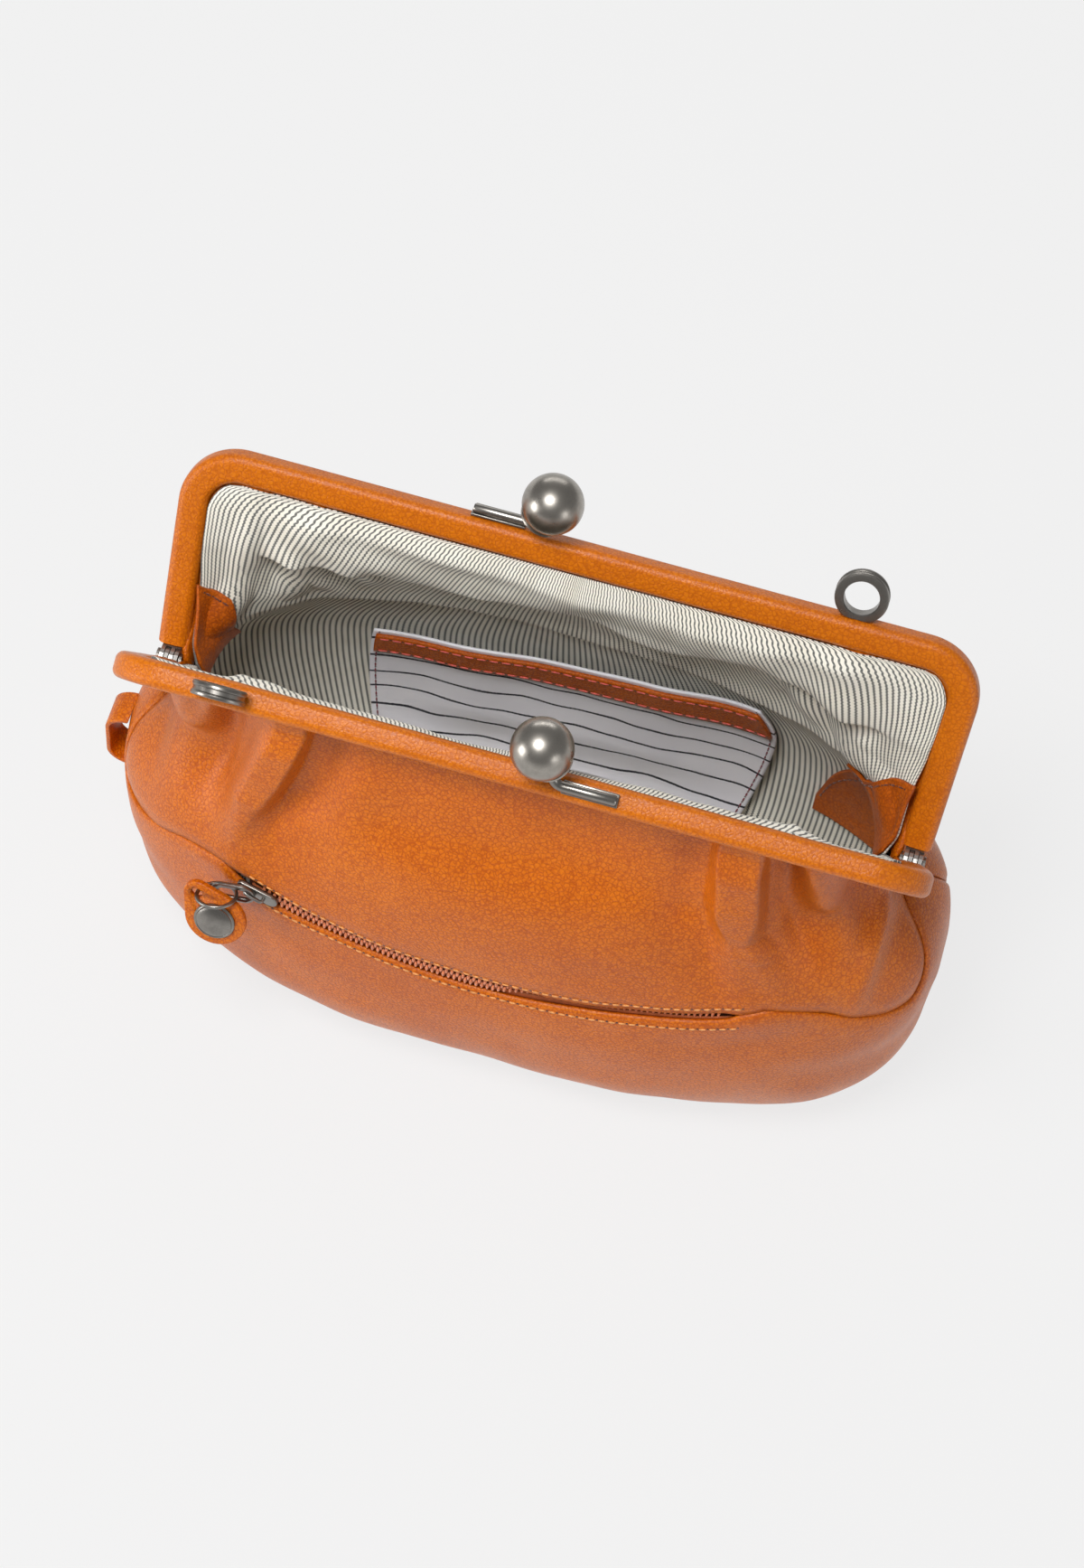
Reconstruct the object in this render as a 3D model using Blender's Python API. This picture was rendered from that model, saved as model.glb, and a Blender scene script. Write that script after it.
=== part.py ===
"""Kiss-lock frame clutch bag, standing open on its base.

Metres, +Z up, X along the frame, -Y towards the front. The origin lies on the floor under the
middle of the hinge line. Two leather-covered steel frames turn on one hinge line and close with a
pair of balls. The soft bag between them has a front and a back panel, a base gusset that runs from
hinge to hinge, a lining, and a zip pocket in the front seam whose slider rides a curved track.
"""

import math

import bmesh
import bpy
from mathutils import Matrix, Vector

for old in list(bpy.data.objects):
    bpy.data.objects.remove(old, do_unlink=True)

# Gaps between pieces
touch_gap = 0.0003
cut_overrun = 0.002
weld_gap = 0.00002

# Width of the bag. The frame, the zip and the rings follow it
body_half_width = 0.1425

# Frame halves
hinge_height = 0.120
open_angle = math.radians(31.3)
body_overhang = 0.009
frame_half_width = body_half_width - body_overhang
frame_height = 0.0775
cover_height = 0.0102
cover_thickness = 0.0088
cover_edge_radius = 0.0028
cover_wall = 0.0014
corner_radius = 0.020
leg_lean = math.radians(1.8)
closing_gap = 0.0004
cover_end_height = 0.0048
core_end_height = 0.0043
core_edge_radius = 0.0007
corner_steps = 6

# Hinges
knuckle_radius = 0.0036
knuckle_play = 0.00035
knuckle_slots = 4
pin_radius = 0.0012
pin_play = 0.00008
pin_head_radius = 0.0025
pin_head_thickness = 0.0009
round_sides = 16
wire_sides = 6

# Ball clasp
ball_radius = 0.010
ball_rise = 0.0052
ball_reach = 0.0052
ball_pass_gap = 0.0003
fitting_offset = -0.0031
clasp_length = 0.0255
clasp_radius = 0.0017
clasp_plate_width = 0.0044
clasp_plate_thickness = 0.0009
clasp_sink = 0.0006
neck_radius = 0.0015
neck_run = 0.0085
cup_thickness = 0.0008
cup_spread = math.radians(40.0)
neck_bend_share = 0.55
neck_direction = (-0.38, 0.37, -0.85)

# Strap rings
ring_radius = 0.0088
ring_bore = 0.0058
ring_width = 0.0046
ring_edge_radius = 0.0010
ring_seat_depth = 0.0013
ring_spacing_share = 0.6865
ring_spacing = ring_spacing_share * frame_half_width

# Bag body
body_half_depth = 0.0655
body_roundness = 2.5
body_lean = 0.008
shoulder_drop = 0.008
shoulder_half_depth = 0.0600
leather_wall = 0.0016
seam_gap = 0.0004
panel_sag_share = 1.1

# Station shares of the wall from the middle of the base up to the shoulder
depth_shares = (0.0, 0.52, 0.71, 0.87, 0.965, 1.0, 1.0, 0.965)
height_shares = (0.0, 0.0, 0.022, 0.100, 0.230, 0.400, 0.610, 0.810)
width_shares = (0.70, 0.77, 0.850, 0.920, 0.965, 0.990, 1.000, 0.975)

# Pleats of the front and back panel
pleat_height = 0.0045
pleat_width = 0.010
pleat_spacing_share = 0.533
pleat_spacing = pleat_spacing_share * body_half_width
pleat_top_share = 0.87

# Lining and inner pieces
lining_inset = 0.0056
lining_wall = 0.0008
pocket_gape = 0.0088
pocket_fabric = 0.0009
band_thickness = 0.0014
facing_thickness = 0.0012

# Facets of the soft pieces. All follow the same columns, so layers stay parallel
wall_columns = 24
lining_rows = 14
panel_rows = 10
gusset_rows = 14
tape_columns = 18
pouch_columns = 14
pouch_rows = 4

# Columns and rows of the lining's grid that the sewn pieces cover, counted from its middle and base
pocket_columns = (-3, 3)
pocket_rows = (3, 6)
left_facing_columns = (-10, -8)
right_facing_columns = (5, 10)
facing_rows = (5, 7)
slot_columns = (4, 5)

# Zip pocket in the front seam
zip_half_length_share = 0.551
zip_half_length = zip_half_length_share * body_half_width
zip_drop = 0.042
zip_track_flatness = 0.0778
zip_track_radius = body_half_width ** 2 / zip_track_flatness
zip_track_tilt = math.radians(29.5)
slot_width = 0.0078
seam_corner_drop = 0.047
fullness = 0.0026
fullness_start_share = 0.323
fullness_run_share = 0.351
fullness_end_share = 0.618
fullness_fade_share = 0.281
fullness_fade_z = 0.020
seam_tip_drop = 0.014
seam_rise_share = 0.80
tooth_pitch = 0.004
tooth_length = 0.0021
tooth_thickness = 0.0013
tooth_inset = 0.0009
tape_spine = 0.0012
tape_width = 0.0085
tape_thickness = 0.0005
tape_inset = 0.0025
pouch_inset = 0.0036
pouch_thickness = 0.0010
pouch_drop = 0.042
pouch_half_width_share = 0.5895
pouch_half_width = pouch_half_width_share * body_half_width

# Slider and pull
slider_start_share = -0.5474
slider_start = slider_start_share * body_half_width
slider_length = 0.0150
slider_height = 0.0058
slider_thickness = 0.0016
slider_sink = 0.0001
bail_radius = 0.0006
bail_half_length = 0.0034
bail_height = 0.0026
link_length = 0.0150
link_height = 0.0098
link_thickness = 0.0011
link_wall = 0.0022
link_droop = math.radians(24.0)
link_tilt = math.radians(10.0)
slider_end_run = 0.002
pull_ring_radius = 0.0065
pull_ring_wire = 0.0007
pull_ring_lift = 0.003
pull_ring_entry = 0.006
pull_ring_turn = math.radians(70.0)
tab_length = 0.0265
tab_width = 0.0210
tab_thickness = 0.0024
tab_turn = math.radians(57.0)
tab_hole_radius = 0.0022
tab_hole_inset = 0.0047
rivet_radius = 0.0070
rivet_height = 0.0024
rivet_edge = 0.0006
rivet_shank = 0.0014
rivet_back = 0.0008
rivet_back_radius = 0.0030

# Side loop
loop_width = 0.012
loop_height = 0.027
loop_stand_off = 0.0055
loop_thickness = 0.0016
loop_drop = 0.046
loop_forward = 0.004

# Places that follow from the sizes above
cover_middle = closing_gap / 2 + cover_thickness / 2
bar_middle = frame_height - cover_height / 2
bend_radius = corner_radius - cover_height / 2
bend_centre_x = frame_half_width - corner_radius
bend_centre_z = bar_middle - bend_radius
core_height = cover_height - 2 * (cover_wall + touch_gap)
core_thickness = cover_thickness - 2 * (cover_wall + touch_gap)
knuckle_width = core_height - 2 * touch_gap
shoulder_height = hinge_height - shoulder_drop
ball_height = frame_height + ball_rise + ball_radius
bar_top = frame_height + touch_gap


def leg_middle_x(height):
    """Distance of a leg's middle line from the frame's middle, at a height above the hinge line."""
    turn_x = bend_centre_x + bend_radius * math.cos(leg_lean)
    turn_z = bend_centre_z - bend_radius * math.sin(leg_lean)
    return turn_x - (turn_z - height) * math.tan(leg_lean)


window_radius = bend_radius - cover_height / 2 - touch_gap
window_top = bend_centre_z + window_radius


def window_half_width(height):
    """Half the clear width between the legs, narrowed by the touching gap and by the round corners."""
    turn_z = bend_centre_z - window_radius * math.sin(leg_lean)
    turn_x = bend_centre_x + window_radius * math.cos(leg_lean)
    if height <= turn_z:
        return turn_x - (turn_z - height) * math.tan(leg_lean)
    rise = min(height - bend_centre_z, window_radius)
    return bend_centre_x + math.sqrt(window_radius ** 2 - rise ** 2)


def smooth(value):
    value = min(max(value, 0.0), 1.0)
    return value * value * (3 - 2 * value)


def follow(values, places, place):
    """Smooth value through stations, by a cubic with the slopes of the neighbouring stations."""
    last = len(values) - 1
    index = 0
    while index < last - 1 and place > places[index + 1]:
        index += 1
    span = places[index + 1] - places[index]
    step = (place - places[index]) / span

    def slope(at):
        low, high = max(at - 1, 0), min(at + 1, last)
        return (values[high] - values[low]) / (places[high] - places[low])

    start, end = values[index], values[index + 1]
    leave, arrive = slope(index) * span, slope(index + 1) * span
    square, cube = step ** 2, step ** 3
    return (start * (2 * cube - 3 * square + 1) + leave * (cube - 2 * square + step)
            + end * (3 * square - 2 * cube) + arrive * (cube - square))


# The wall's stations, placed by the length along the middle section
station_depths = [share * body_half_depth for share in depth_shares] + [shoulder_half_depth]
station_heights = [share * shoulder_height for share in height_shares] + [shoulder_height]
station_widths = [share * body_half_width for share in width_shares] + [window_half_width(-shoulder_drop)]
station_places = [0.0]
for before in range(len(station_depths) - 1):
    run = station_depths[before + 1] - station_depths[before]
    rise = station_heights[before + 1] - station_heights[before]
    station_places.append(station_places[-1] + math.hypot(run, rise))
wall_length = station_places[-1]
station_places = [place / wall_length for place in station_places]


def wall_height(level):
    if level <= station_places[1]:
        return 0.0
    return max(follow(station_heights, station_places, level), 0.0)


def level_at(height):
    """Level of the wall at a height above the floor, found by halving."""
    low, high = station_places[1], 1.0
    for _ in range(40):
        middle = (low + high) / 2
        if wall_height(middle) < height:
            low = middle
        else:
            high = middle
    return (low + high) / 2


def round_run(place):
    """Share of the half width reached at a place from -1 to 1 along a rounded outline."""
    reach = abs(math.sin(place * math.pi / 2)) ** (2 / body_roundness)
    return math.copysign(reach, place)


def round_rise(place):
    return max(math.cos(place * math.pi / 2), 0.0) ** (2 / body_roundness)


def lean_at(height):
    return body_lean * max(1 - height / shoulder_height, 0.0)


zip_centre = lean_at(hinge_height - zip_drop)


def zip_height(x):
    """Height of the zip's track, an arc that rises to both ends."""
    turn = math.asin(min(max((x - zip_centre) / zip_track_radius, -1.0), 1.0))
    return hinge_height - zip_drop + zip_track_radius * (1 - math.cos(turn)) * math.cos(zip_track_tilt)


def front_fullness(x, height):
    """How far the front stands out at the zip's ends, so the wall follows the slider's arc there."""
    away = abs(x - zip_centre) / body_half_width
    rise = smooth((away - fullness_start_share) / fullness_run_share)
    along = rise * (1 - smooth((away - fullness_end_share) / fullness_fade_share))
    return fullness * along * (1 - smooth(abs(height - zip_height(x)) / fullness_fade_z))


def body_point(place, level, side, inset):
    """Point of the bag's wall.

    place runs from -1 at the left side to 1 at the right side. level runs from 0 in the middle of
    the base to 1 at the shoulder under the hinges, and on to 2 at the frame's bar. side is -1 on the
    front and 1 on the back. inset is the distance inwards from the outer face.
    """
    if level <= 1:
        half_width = follow(station_widths, station_places, level) - inset
        half_depth = follow(station_depths, station_places, level)
        half_depth = half_depth * (body_half_depth - inset) / body_half_depth
        height = inset + wall_height(level) * (shoulder_height - inset) / shoulder_height
        x = half_width * round_run(place) + lean_at(height)
        y = side * half_depth * round_rise(place)
        if side < 0:
            y -= front_fullness(x, height)
        return Vector((x, y, height))
    climb = level - 1
    along = -shoulder_drop + climb * (window_top + shoulder_drop)
    ramp = smooth(along / (2 * shoulder_drop)) * cover_middle
    edge_y = max(along, 0.0) * math.sin(open_angle) + ramp * math.cos(open_angle)
    height = hinge_height + min(along, 0.0) + max(along, 0.0) * math.cos(open_angle)
    height -= ramp * math.sin(open_angle)
    shoulder_depth = shoulder_half_depth * (body_half_depth - inset) / body_half_depth
    sag = shoulder_depth * (1 - climb) ** panel_sag_share
    across = (1 - climb) * round_run(place) + climb * place
    x = (window_half_width(along) - inset) * across
    bulge = round_rise(place)
    edge_inset = inset * smooth(along / (2 * shoulder_drop)) * (1 - bulge * (1 - climb))
    return Vector((x, side * (edge_y + touch_gap / 2 + sag * bulge - edge_inset), height))


def wall_point(x, height, side, inset):
    """Point of the wall below the shoulder, by its own x and height."""
    level = level_at(height)
    half_width = follow(station_widths, station_places, level) - inset
    share = min(max((x - lean_at(height)) / half_width, -1.0), 1.0)
    place = math.asin(abs(share) ** (body_roundness / 2)) * 2 / math.pi
    return body_point(math.copysign(place, share), level, side, inset)


def seam_height(place):
    """Height of the seam between a panel and the base gusset."""
    x = body_half_width * round_run(place) + zip_centre
    slot_end = body_half_width * round_run(2 * slot_columns[1] / wall_columns)
    beyond = abs(x - zip_centre) - slot_end
    if beyond <= 0:
        return zip_height(x)
    corner = hinge_height - seam_corner_drop
    turn_height = zip_height(zip_centre + slot_end)
    low = turn_height + (corner - turn_height) * smooth(beyond / (body_half_width - slot_end))
    tip = hinge_height - seam_tip_drop
    return low + (tip - low) * smooth((abs(place) - seam_rise_share) / (1 - seam_rise_share))


def slot_opening(place):
    """Half the height of the zip's slot at a place along the front seam. It closes over one column."""
    reach = slot_columns[1] - abs(place) * wall_columns / 2
    return slot_width / 2 * min(max(reach / (slot_columns[1] - slot_columns[0]), 0.0), 1.0)


def pleat(place, climb):
    """How far a panel's pleats stand proud, highest between the bar and the hinge line."""
    fade = math.sin(math.pi * smooth(climb / pleat_top_share))
    x = window_half_width(0.0) * place
    fold = math.exp(-((abs(x) - pleat_spacing) / pleat_width) ** 2)
    return pleat_height * fold * fade


def new_object(name, mesh_builder, material, smooth_angle=math.radians(40.0)):
    """Object from a bmesh that the builder fills, with outward faces and soft shading."""
    shape = bmesh.new()
    mesh_builder(shape)
    bmesh.ops.recalc_face_normals(shape, faces=shape.faces[:])
    mesh = bpy.data.meshes.new(name)
    shape.to_mesh(mesh)
    shape.free()
    mesh.shade_smooth()
    mesh.set_sharp_from_angle(angle=smooth_angle)
    mesh.materials.append(material)
    piece = bpy.data.objects.new(name, mesh)
    bpy.context.collection.objects.link(piece)
    return piece


def new_material(name, colour, roughness, metallic=0.0):
    material = bpy.data.materials.new(name)
    material.use_nodes = True
    shader = material.node_tree.nodes["Principled BSDF"]
    shader.inputs["Base Color"].default_value = (*colour, 1.0)
    shader.inputs["Roughness"].default_value = roughness
    shader.inputs["Metallic"].default_value = metallic
    material.diffuse_color = (*colour, 1.0)
    return material


leather = new_material("tan leather", (0.60, 0.22, 0.045), 0.42)
nickel = new_material("dark nickel", (0.26, 0.25, 0.24), 0.32, 1.0)
steel = new_material("frame steel", (0.55, 0.54, 0.52), 0.4, 1.0)
ticking = new_material("ticking lining", (0.62, 0.60, 0.54), 0.9)
pocket_cloth = new_material("pocket cloth", (0.70, 0.68, 0.72), 0.9)
zip_brown = new_material("zip brown", (0.22, 0.07, 0.03), 0.5)
pouch_cloth = new_material("pouch cloth", (0.16, 0.08, 0.05), 0.9)


def mark_as_tool(piece):
    """A cutter or a joining block: used by modifiers, not a piece of the bag."""
    piece.hide_render = True
    piece.display_type = 'WIRE'
    return piece


def boolean(piece, tool, operation):
    change = piece.modifiers.new(tool.name, 'BOOLEAN')
    change.object = tool
    change.operation = operation
    change.solver = 'EXACT'


def cylinder(name, radius, length, middle, axis, material, sides=round_sides):
    """Solid cylinder about a middle point, along an axis."""
    def build(shape):
        turn = Vector(axis).to_track_quat('Z', 'Y').to_matrix().to_4x4()
        bmesh.ops.create_cone(shape, cap_ends=True, segments=sides, radius1=radius, radius2=radius,
                              depth=length, matrix=Matrix.Translation(middle) @ turn)
    return new_object(name, build, material)


def block(name, size, middle, material):
    def build(shape):
        scale = Matrix.Diagonal((*size, 1.0))
        bmesh.ops.create_cube(shape, size=1.0, matrix=Matrix.Translation(middle) @ scale)
    return new_object(name, build, material)


def cloth_shell(name, columns, rows, surface, wall, material, weld=False):
    """Closed shell from a grid that a surface function places at two insets."""
    def build(shape):
        across = shape.verts.layers.float.new("across")
        up = shape.verts.layers.float.new("up")
        bmesh.ops.create_grid(shape, x_segments=columns, y_segments=rows, size=1.0)
        for vert in shape.verts:
            vert[across], vert[up] = vert.co.x, vert.co.y
            vert.co = surface(vert[across], vert[up], 0.0)
        if weld:
            bmesh.ops.remove_doubles(shape, verts=shape.verts[:], dist=weld_gap)
        grown = bmesh.ops.extrude_face_region(shape, geom=shape.faces[:], use_keep_orig=True)
        for vert in [item for item in grown["geom"] if isinstance(item, bmesh.types.BMVert)]:
            vert.co = surface(vert[across], vert[up], wall)
        bmesh.ops.triangulate(shape, faces=shape.faces[:], quad_method='SHORT_EDGE')
    return new_object(name, build, material)


def panel_surface(side):
    opening = slot_opening if side < 0 else (lambda place: 0.0)

    def surface(across, up, inset):
        start = level_at(seam_height(across) + opening(across) + seam_gap / 2)
        level = start + (2 - start) * (up + 1) / 2
        point = body_point(across, level, side, inset)
        if level > 1:
            point.y += side * pleat(across, level - 1)
        return point
    return surface


def gusset_surface(across, up, inset):
    side = -1 if up < 0 else 1
    opening = slot_opening(across) if side < 0 else 0.0
    top = level_at(seam_height(across) - opening - seam_gap / 2)
    return body_point(across, abs(up) * top, side, inset)


def lining_surface(side):
    def surface(across, up, inset):
        point = body_point(across, up + 1, side, lining_inset + inset)
        if up < 0:
            point.y += side * touch_gap / 2
        return point
    return surface


cloth_shell("front_panel", wall_columns, panel_rows, panel_surface(-1), leather_wall, leather)
cloth_shell("back_panel", wall_columns, panel_rows, panel_surface(1), leather_wall, leather)
cloth_shell("base_gusset", wall_columns, gusset_rows, gusset_surface, leather_wall, leather, weld=True)
cloth_shell("lining_front", wall_columns, lining_rows, lining_surface(-1), lining_wall, ticking)
cloth_shell("lining_back", wall_columns, lining_rows, lining_surface(1), lining_wall, ticking)


# Pieces sewn to the back lining, on its own grid: two leather facings, and a pocket with its band
inner_face = lining_inset + lining_wall + touch_gap


def lining_place(column):
    return 2 * column / wall_columns


def lining_level(row):
    return 2 * row / lining_rows


def sewn_piece(name, columns, rows, inset, wall, material, steps=(1, 1)):
    """Piece that lies along the back lining between two of its columns and two of its rows."""
    def surface(across, up, deeper):
        column = columns[0] + (columns[1] - columns[0]) * (across + 1) / 2
        row = rows[0] + (rows[1] - rows[0]) * (up + 1) / 2
        return body_point(lining_place(column), lining_level(row), 1, inset + deeper)
    return cloth_shell(name, steps[0], steps[1], surface, wall, material)


for facing_name, facing_columns in (("left_facing", left_facing_columns),
                                    ("right_facing", right_facing_columns)):
    sewn_piece(facing_name, facing_columns, facing_rows, inner_face, facing_thickness, leather,
               steps=(facing_columns[1] - facing_columns[0], facing_rows[1] - facing_rows[0]))


def pocket_surface(across, up, deeper):
    """The pocket's cloth: it stands off the lining and turns back to it at both sides and below."""
    column = pocket_columns[0] + (pocket_columns[1] - pocket_columns[0]) * (across + 1) / 2
    row = pocket_rows[0] + (pocket_rows[1] - pocket_rows[0]) * (up + 1) / 2
    side_turn = smooth((1 - abs(across)) * (pocket_columns[1] - pocket_columns[0]))
    low_turn = smooth((up + 1) * (pocket_rows[1] - pocket_rows[0]) / 2)
    stand = inner_face + (pocket_gape - pocket_fabric) * side_turn * low_turn
    return body_point(lining_place(column), lining_level(row), 1, stand + deeper)


pocket_steps = 2 * (pocket_columns[1] - pocket_columns[0])
cloth_shell("inner_pocket", pocket_steps, pocket_rows[1] - pocket_rows[0], pocket_surface, pocket_fabric,
            pocket_cloth)
sewn_piece("inner_pocket_band", (pocket_columns[0] + 1, pocket_columns[1] - 1),
           (pocket_rows[1] - 1 / 2, pocket_rows[1]), inner_face + pocket_gape + touch_gap, band_thickness, leather,
           steps=(pocket_steps - 4, 1))


# The zip in the front seam: two toothed rows that mesh, their tapes, and the flat pouch behind them
def on_zip(x, offset, inset):
    return wall_point(x, zip_height(x) + offset, -1, inset)


def zip_row(name, side):
    """Row of teeth on its spine. The upper and the lower row are half a pitch apart, so they mesh."""
    count = int(2 * zip_half_length / tooth_pitch)
    start = zip_centre - count * tooth_pitch / 2
    phase = 0.0 if side > 0 else tooth_pitch / 2
    half_tooth = tooth_pitch / 4 - touch_gap / 2
    root = tooth_length / 2 + touch_gap / 2
    tip = -tooth_length / 2 + touch_gap / 2

    def build(shape):
        places = [start + phase - tooth_pitch / 4]
        for number in range(count):
            middle = start + phase + tooth_pitch * (number + 0.5)
            places += [middle - half_tooth, middle + half_tooth]
        places.append(places[-1] + tooth_pitch / 4)
        top = [shape.verts.new((x, 0.0, root + tape_spine)) for x in places]
        low = [shape.verts.new((x, 0.0, root)) for x in places]
        for index in range(len(places) - 1):
            shape.faces.new((low[index], low[index + 1], top[index + 1], top[index]))
            if index % 2 == 1:
                ends = [shape.verts.new((places[index + step], 0.0, tip)) for step in (0, 1)]
                shape.faces.new((ends[0], ends[1], low[index + 1], low[index]))
        grown = bmesh.ops.extrude_face_region(shape, geom=shape.faces[:], use_keep_orig=True)
        for item in grown["geom"]:
            if isinstance(item, bmesh.types.BMVert):
                item.co.y = tooth_thickness
        for vert in shape.verts:
            vert.co = on_zip(vert.co.x, side * vert.co.z, tooth_inset + vert.co.y)
    return new_object(name, build, zip_brown)


zip_row("zip_teeth_upper", 1)
zip_row("zip_teeth_lower", -1)


def zip_tape(name, side):
    near = tooth_length / 2 + touch_gap / 2 + tape_spine + touch_gap
    reach = zip_half_length + tooth_pitch

    def surface(across, up, deeper):
        offset = side * (near + tape_width * (up + 1) / 2)
        return on_zip(zip_centre + reach * across, offset, tape_inset + deeper)
    return cloth_shell(name, tape_columns, 1, surface, tape_thickness, zip_brown)


zip_tape("zip_tape_upper", 1)
zip_tape("zip_tape_lower", -1)


def pouch_surface(across, up, deeper):
    x = zip_centre + pouch_half_width * across
    upper = zip_height(x) + tape_width
    height = upper - (tape_width + pouch_drop) * (1 - up) / 2
    return wall_point(x, height, -1, pouch_inset + deeper)


cloth_shell("zip_pouch", pouch_columns, pouch_rows, pouch_surface, pouch_thickness, pouch_cloth)


# Frame halves. Each is modelled upright, closed side on y = 0, and hangs on a pivot on the hinge line
def pivot(name, angle, half_turn):
    empty = bpy.data.objects.new(name, None)
    bpy.context.collection.objects.link(empty)
    empty.location = (0.0, 0.0, hinge_height)
    empty.rotation_euler = (-angle, 0.0, math.pi if half_turn else 0.0)
    return empty


def rounded_section(height, thickness, radius, steps):
    """Rounded rectangle about the covered bar's middle line, as pairs (in plane, through)."""
    points = []
    for corner in range(4):
        across = (height / 2 - radius) * (1 if corner in (0, 3) else -1)
        through = (thickness / 2 - radius) * (1 if corner in (0, 1) else -1)
        for step in range(steps + 1):
            angle = math.pi / 2 * (corner + step / steps)
            points.append((across + radius * math.cos(angle), through + radius * math.sin(angle)))
    return points


def sweep_frame(shape, sections, end_height):
    """Sweep one section, or the ring between two, up the left leg and round to the right leg's end."""
    up = Vector((-math.sin(leg_lean), 0.0, math.cos(leg_lean)))
    outward = Vector((-math.cos(leg_lean), 0.0, -math.sin(leg_lean)))
    start = Vector((-leg_middle_x(end_height), cover_middle, end_height))
    loops = [[shape.verts.new(start + outward * across + Vector((0.0, through, 0.0)))
              for across, through in section] for section in sections]
    if len(loops) == 1:
        faces = [shape.faces.new(loops[0])]
    else:
        outer, inner = loops
        faces = [shape.faces.new((outer[index - 1], outer[index], inner[index], inner[index - 1]))
                 for index in range(len(outer))]
    turn_z = bend_centre_z - bend_radius * math.sin(leg_lean)
    leg_length = (turn_z - end_height) / math.cos(leg_lean)

    def clear_inner(region):
        left = [face for face in region if face.is_valid]
        bmesh.ops.delete(shape, geom=left, context='FACES_ONLY')

    def straight(region, direction, keep=False):
        grown = bmesh.ops.extrude_face_region(shape, geom=region, use_keep_orig=keep)["geom"]
        bmesh.ops.translate(shape, vec=direction,
                            verts=[item for item in grown if isinstance(item, bmesh.types.BMVert)])
        if not keep:
            clear_inner(region)
        return [item for item in grown if isinstance(item, bmesh.types.BMFace)]

    def bend(region, centre_x):
        grown = bmesh.ops.spin(shape, geom=region, cent=(centre_x, 0.0, bend_centre_z), axis=(0, 1, 0),
                               angle=math.pi / 2 + leg_lean, steps=corner_steps, use_duplicate=False)
        clear_inner(region)
        return [item for item in grown["geom_last"] if isinstance(item, bmesh.types.BMFace)]

    faces = straight(faces, up * leg_length, keep=True)
    faces = bend(faces, -bend_centre_x)
    faces = straight(faces, Vector((2 * bend_centre_x, 0.0, 0.0)))
    faces = bend(faces, bend_centre_x)
    straight(faces, Vector((up.x, 0.0, -up.z)) * leg_length)


def frame_cover(name, parent):
    outer = rounded_section(cover_height, cover_thickness, cover_edge_radius, 2)
    inner = rounded_section(cover_height - 2 * cover_wall, cover_thickness - 2 * cover_wall,
                            cover_edge_radius - cover_wall, 2)
    cover = new_object(name, lambda shape: sweep_frame(shape, (outer, inner), cover_end_height), leather)
    cover.parent = parent
    return cover


def knuckle_block(name, side, parent):
    """Solid knuckle below a leg, from the core's end down round the hinge line."""
    middle = side * leg_middle_x(core_end_height)

    def build(shape):
        turn = Vector((1, 0, 0)).to_track_quat('Z', 'Y').to_matrix().to_4x4()
        bmesh.ops.create_cone(shape, cap_ends=True, segments=round_sides, radius1=knuckle_radius,
                              radius2=knuckle_radius, depth=knuckle_width,
                              matrix=Matrix.Translation((middle, 0.0, 0.0)) @ turn)
        size = Matrix.Diagonal((knuckle_width, core_thickness - 2 * touch_gap, touch_gap, 1.0))
        root = Matrix.Translation((middle, cover_middle, core_end_height + touch_gap / 2))
        bmesh.ops.create_cube(shape, size=1.0, matrix=root @ size)
        bmesh.ops.delete(shape, geom=shape.edges[:], context='EDGES_FACES')
        result = bmesh.ops.convex_hull(shape, input=shape.verts[:])
        inside = [item for item in result["geom_interior"] if isinstance(item, bmesh.types.BMVert)]
        bmesh.ops.delete(shape, geom=inside, context='VERTS')
    knuckle = mark_as_tool(new_object(name, build, steel))
    knuckle.parent = parent
    return knuckle


def frame_core(name, parent):
    """Steel bar inside the cover, with hinge knuckles at both ends."""
    section = rounded_section(core_height, core_thickness, core_edge_radius, 1)
    core = new_object(name, lambda shape: sweep_frame(shape, (section,), core_end_height), steel)
    core.parent = parent
    slot = (knuckle_width - (knuckle_slots - 1) * touch_gap) / knuckle_slots
    for side in (1, -1):
        label = f"{name}_{'right' if side > 0 else 'left'}"
        boolean(core, knuckle_block(f"{label}_knuckle", side, parent), 'UNION')
        inner_x = leg_middle_x(core_end_height) - knuckle_width / 2
        for number in range(knuckle_slots):
            if number % 2 == (1 if side > 0 else 0):
                low = inner_x + number * (slot + touch_gap) - touch_gap
                high = low + slot + 2 * touch_gap
                low = low if number else low - cut_overrun
                high = high if number < knuckle_slots - 1 else high + cut_overrun
                cutter = cylinder(f"{label}_slot_{number}", knuckle_radius + knuckle_play, high - low,
                                  (side * (low + high) / 2, 0.0, 0.0), (1, 0, 0), steel)
                cutter.parent = parent
                boolean(core, mark_as_tool(cutter), 'DIFFERENCE')
        bore = cylinder(f"{label}_bore", pin_radius + pin_play, core_height + 2 * cut_overrun,
                        (side * leg_middle_x(core_end_height), 0.0, 0.0), (1, 0, 0), steel)
        bore.parent = parent
        boolean(core, mark_as_tool(bore), 'DIFFERENCE')
    return core


def clasp_ball(name, x, parent):
    def build(shape):
        bmesh.ops.create_uvsphere(shape, u_segments=20, v_segments=12, radius=ball_radius,
                                  matrix=Matrix.Translation((x, -ball_reach, ball_height)))
    ball = new_object(name, build, nickel)
    ball.parent = parent
    return ball


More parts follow.
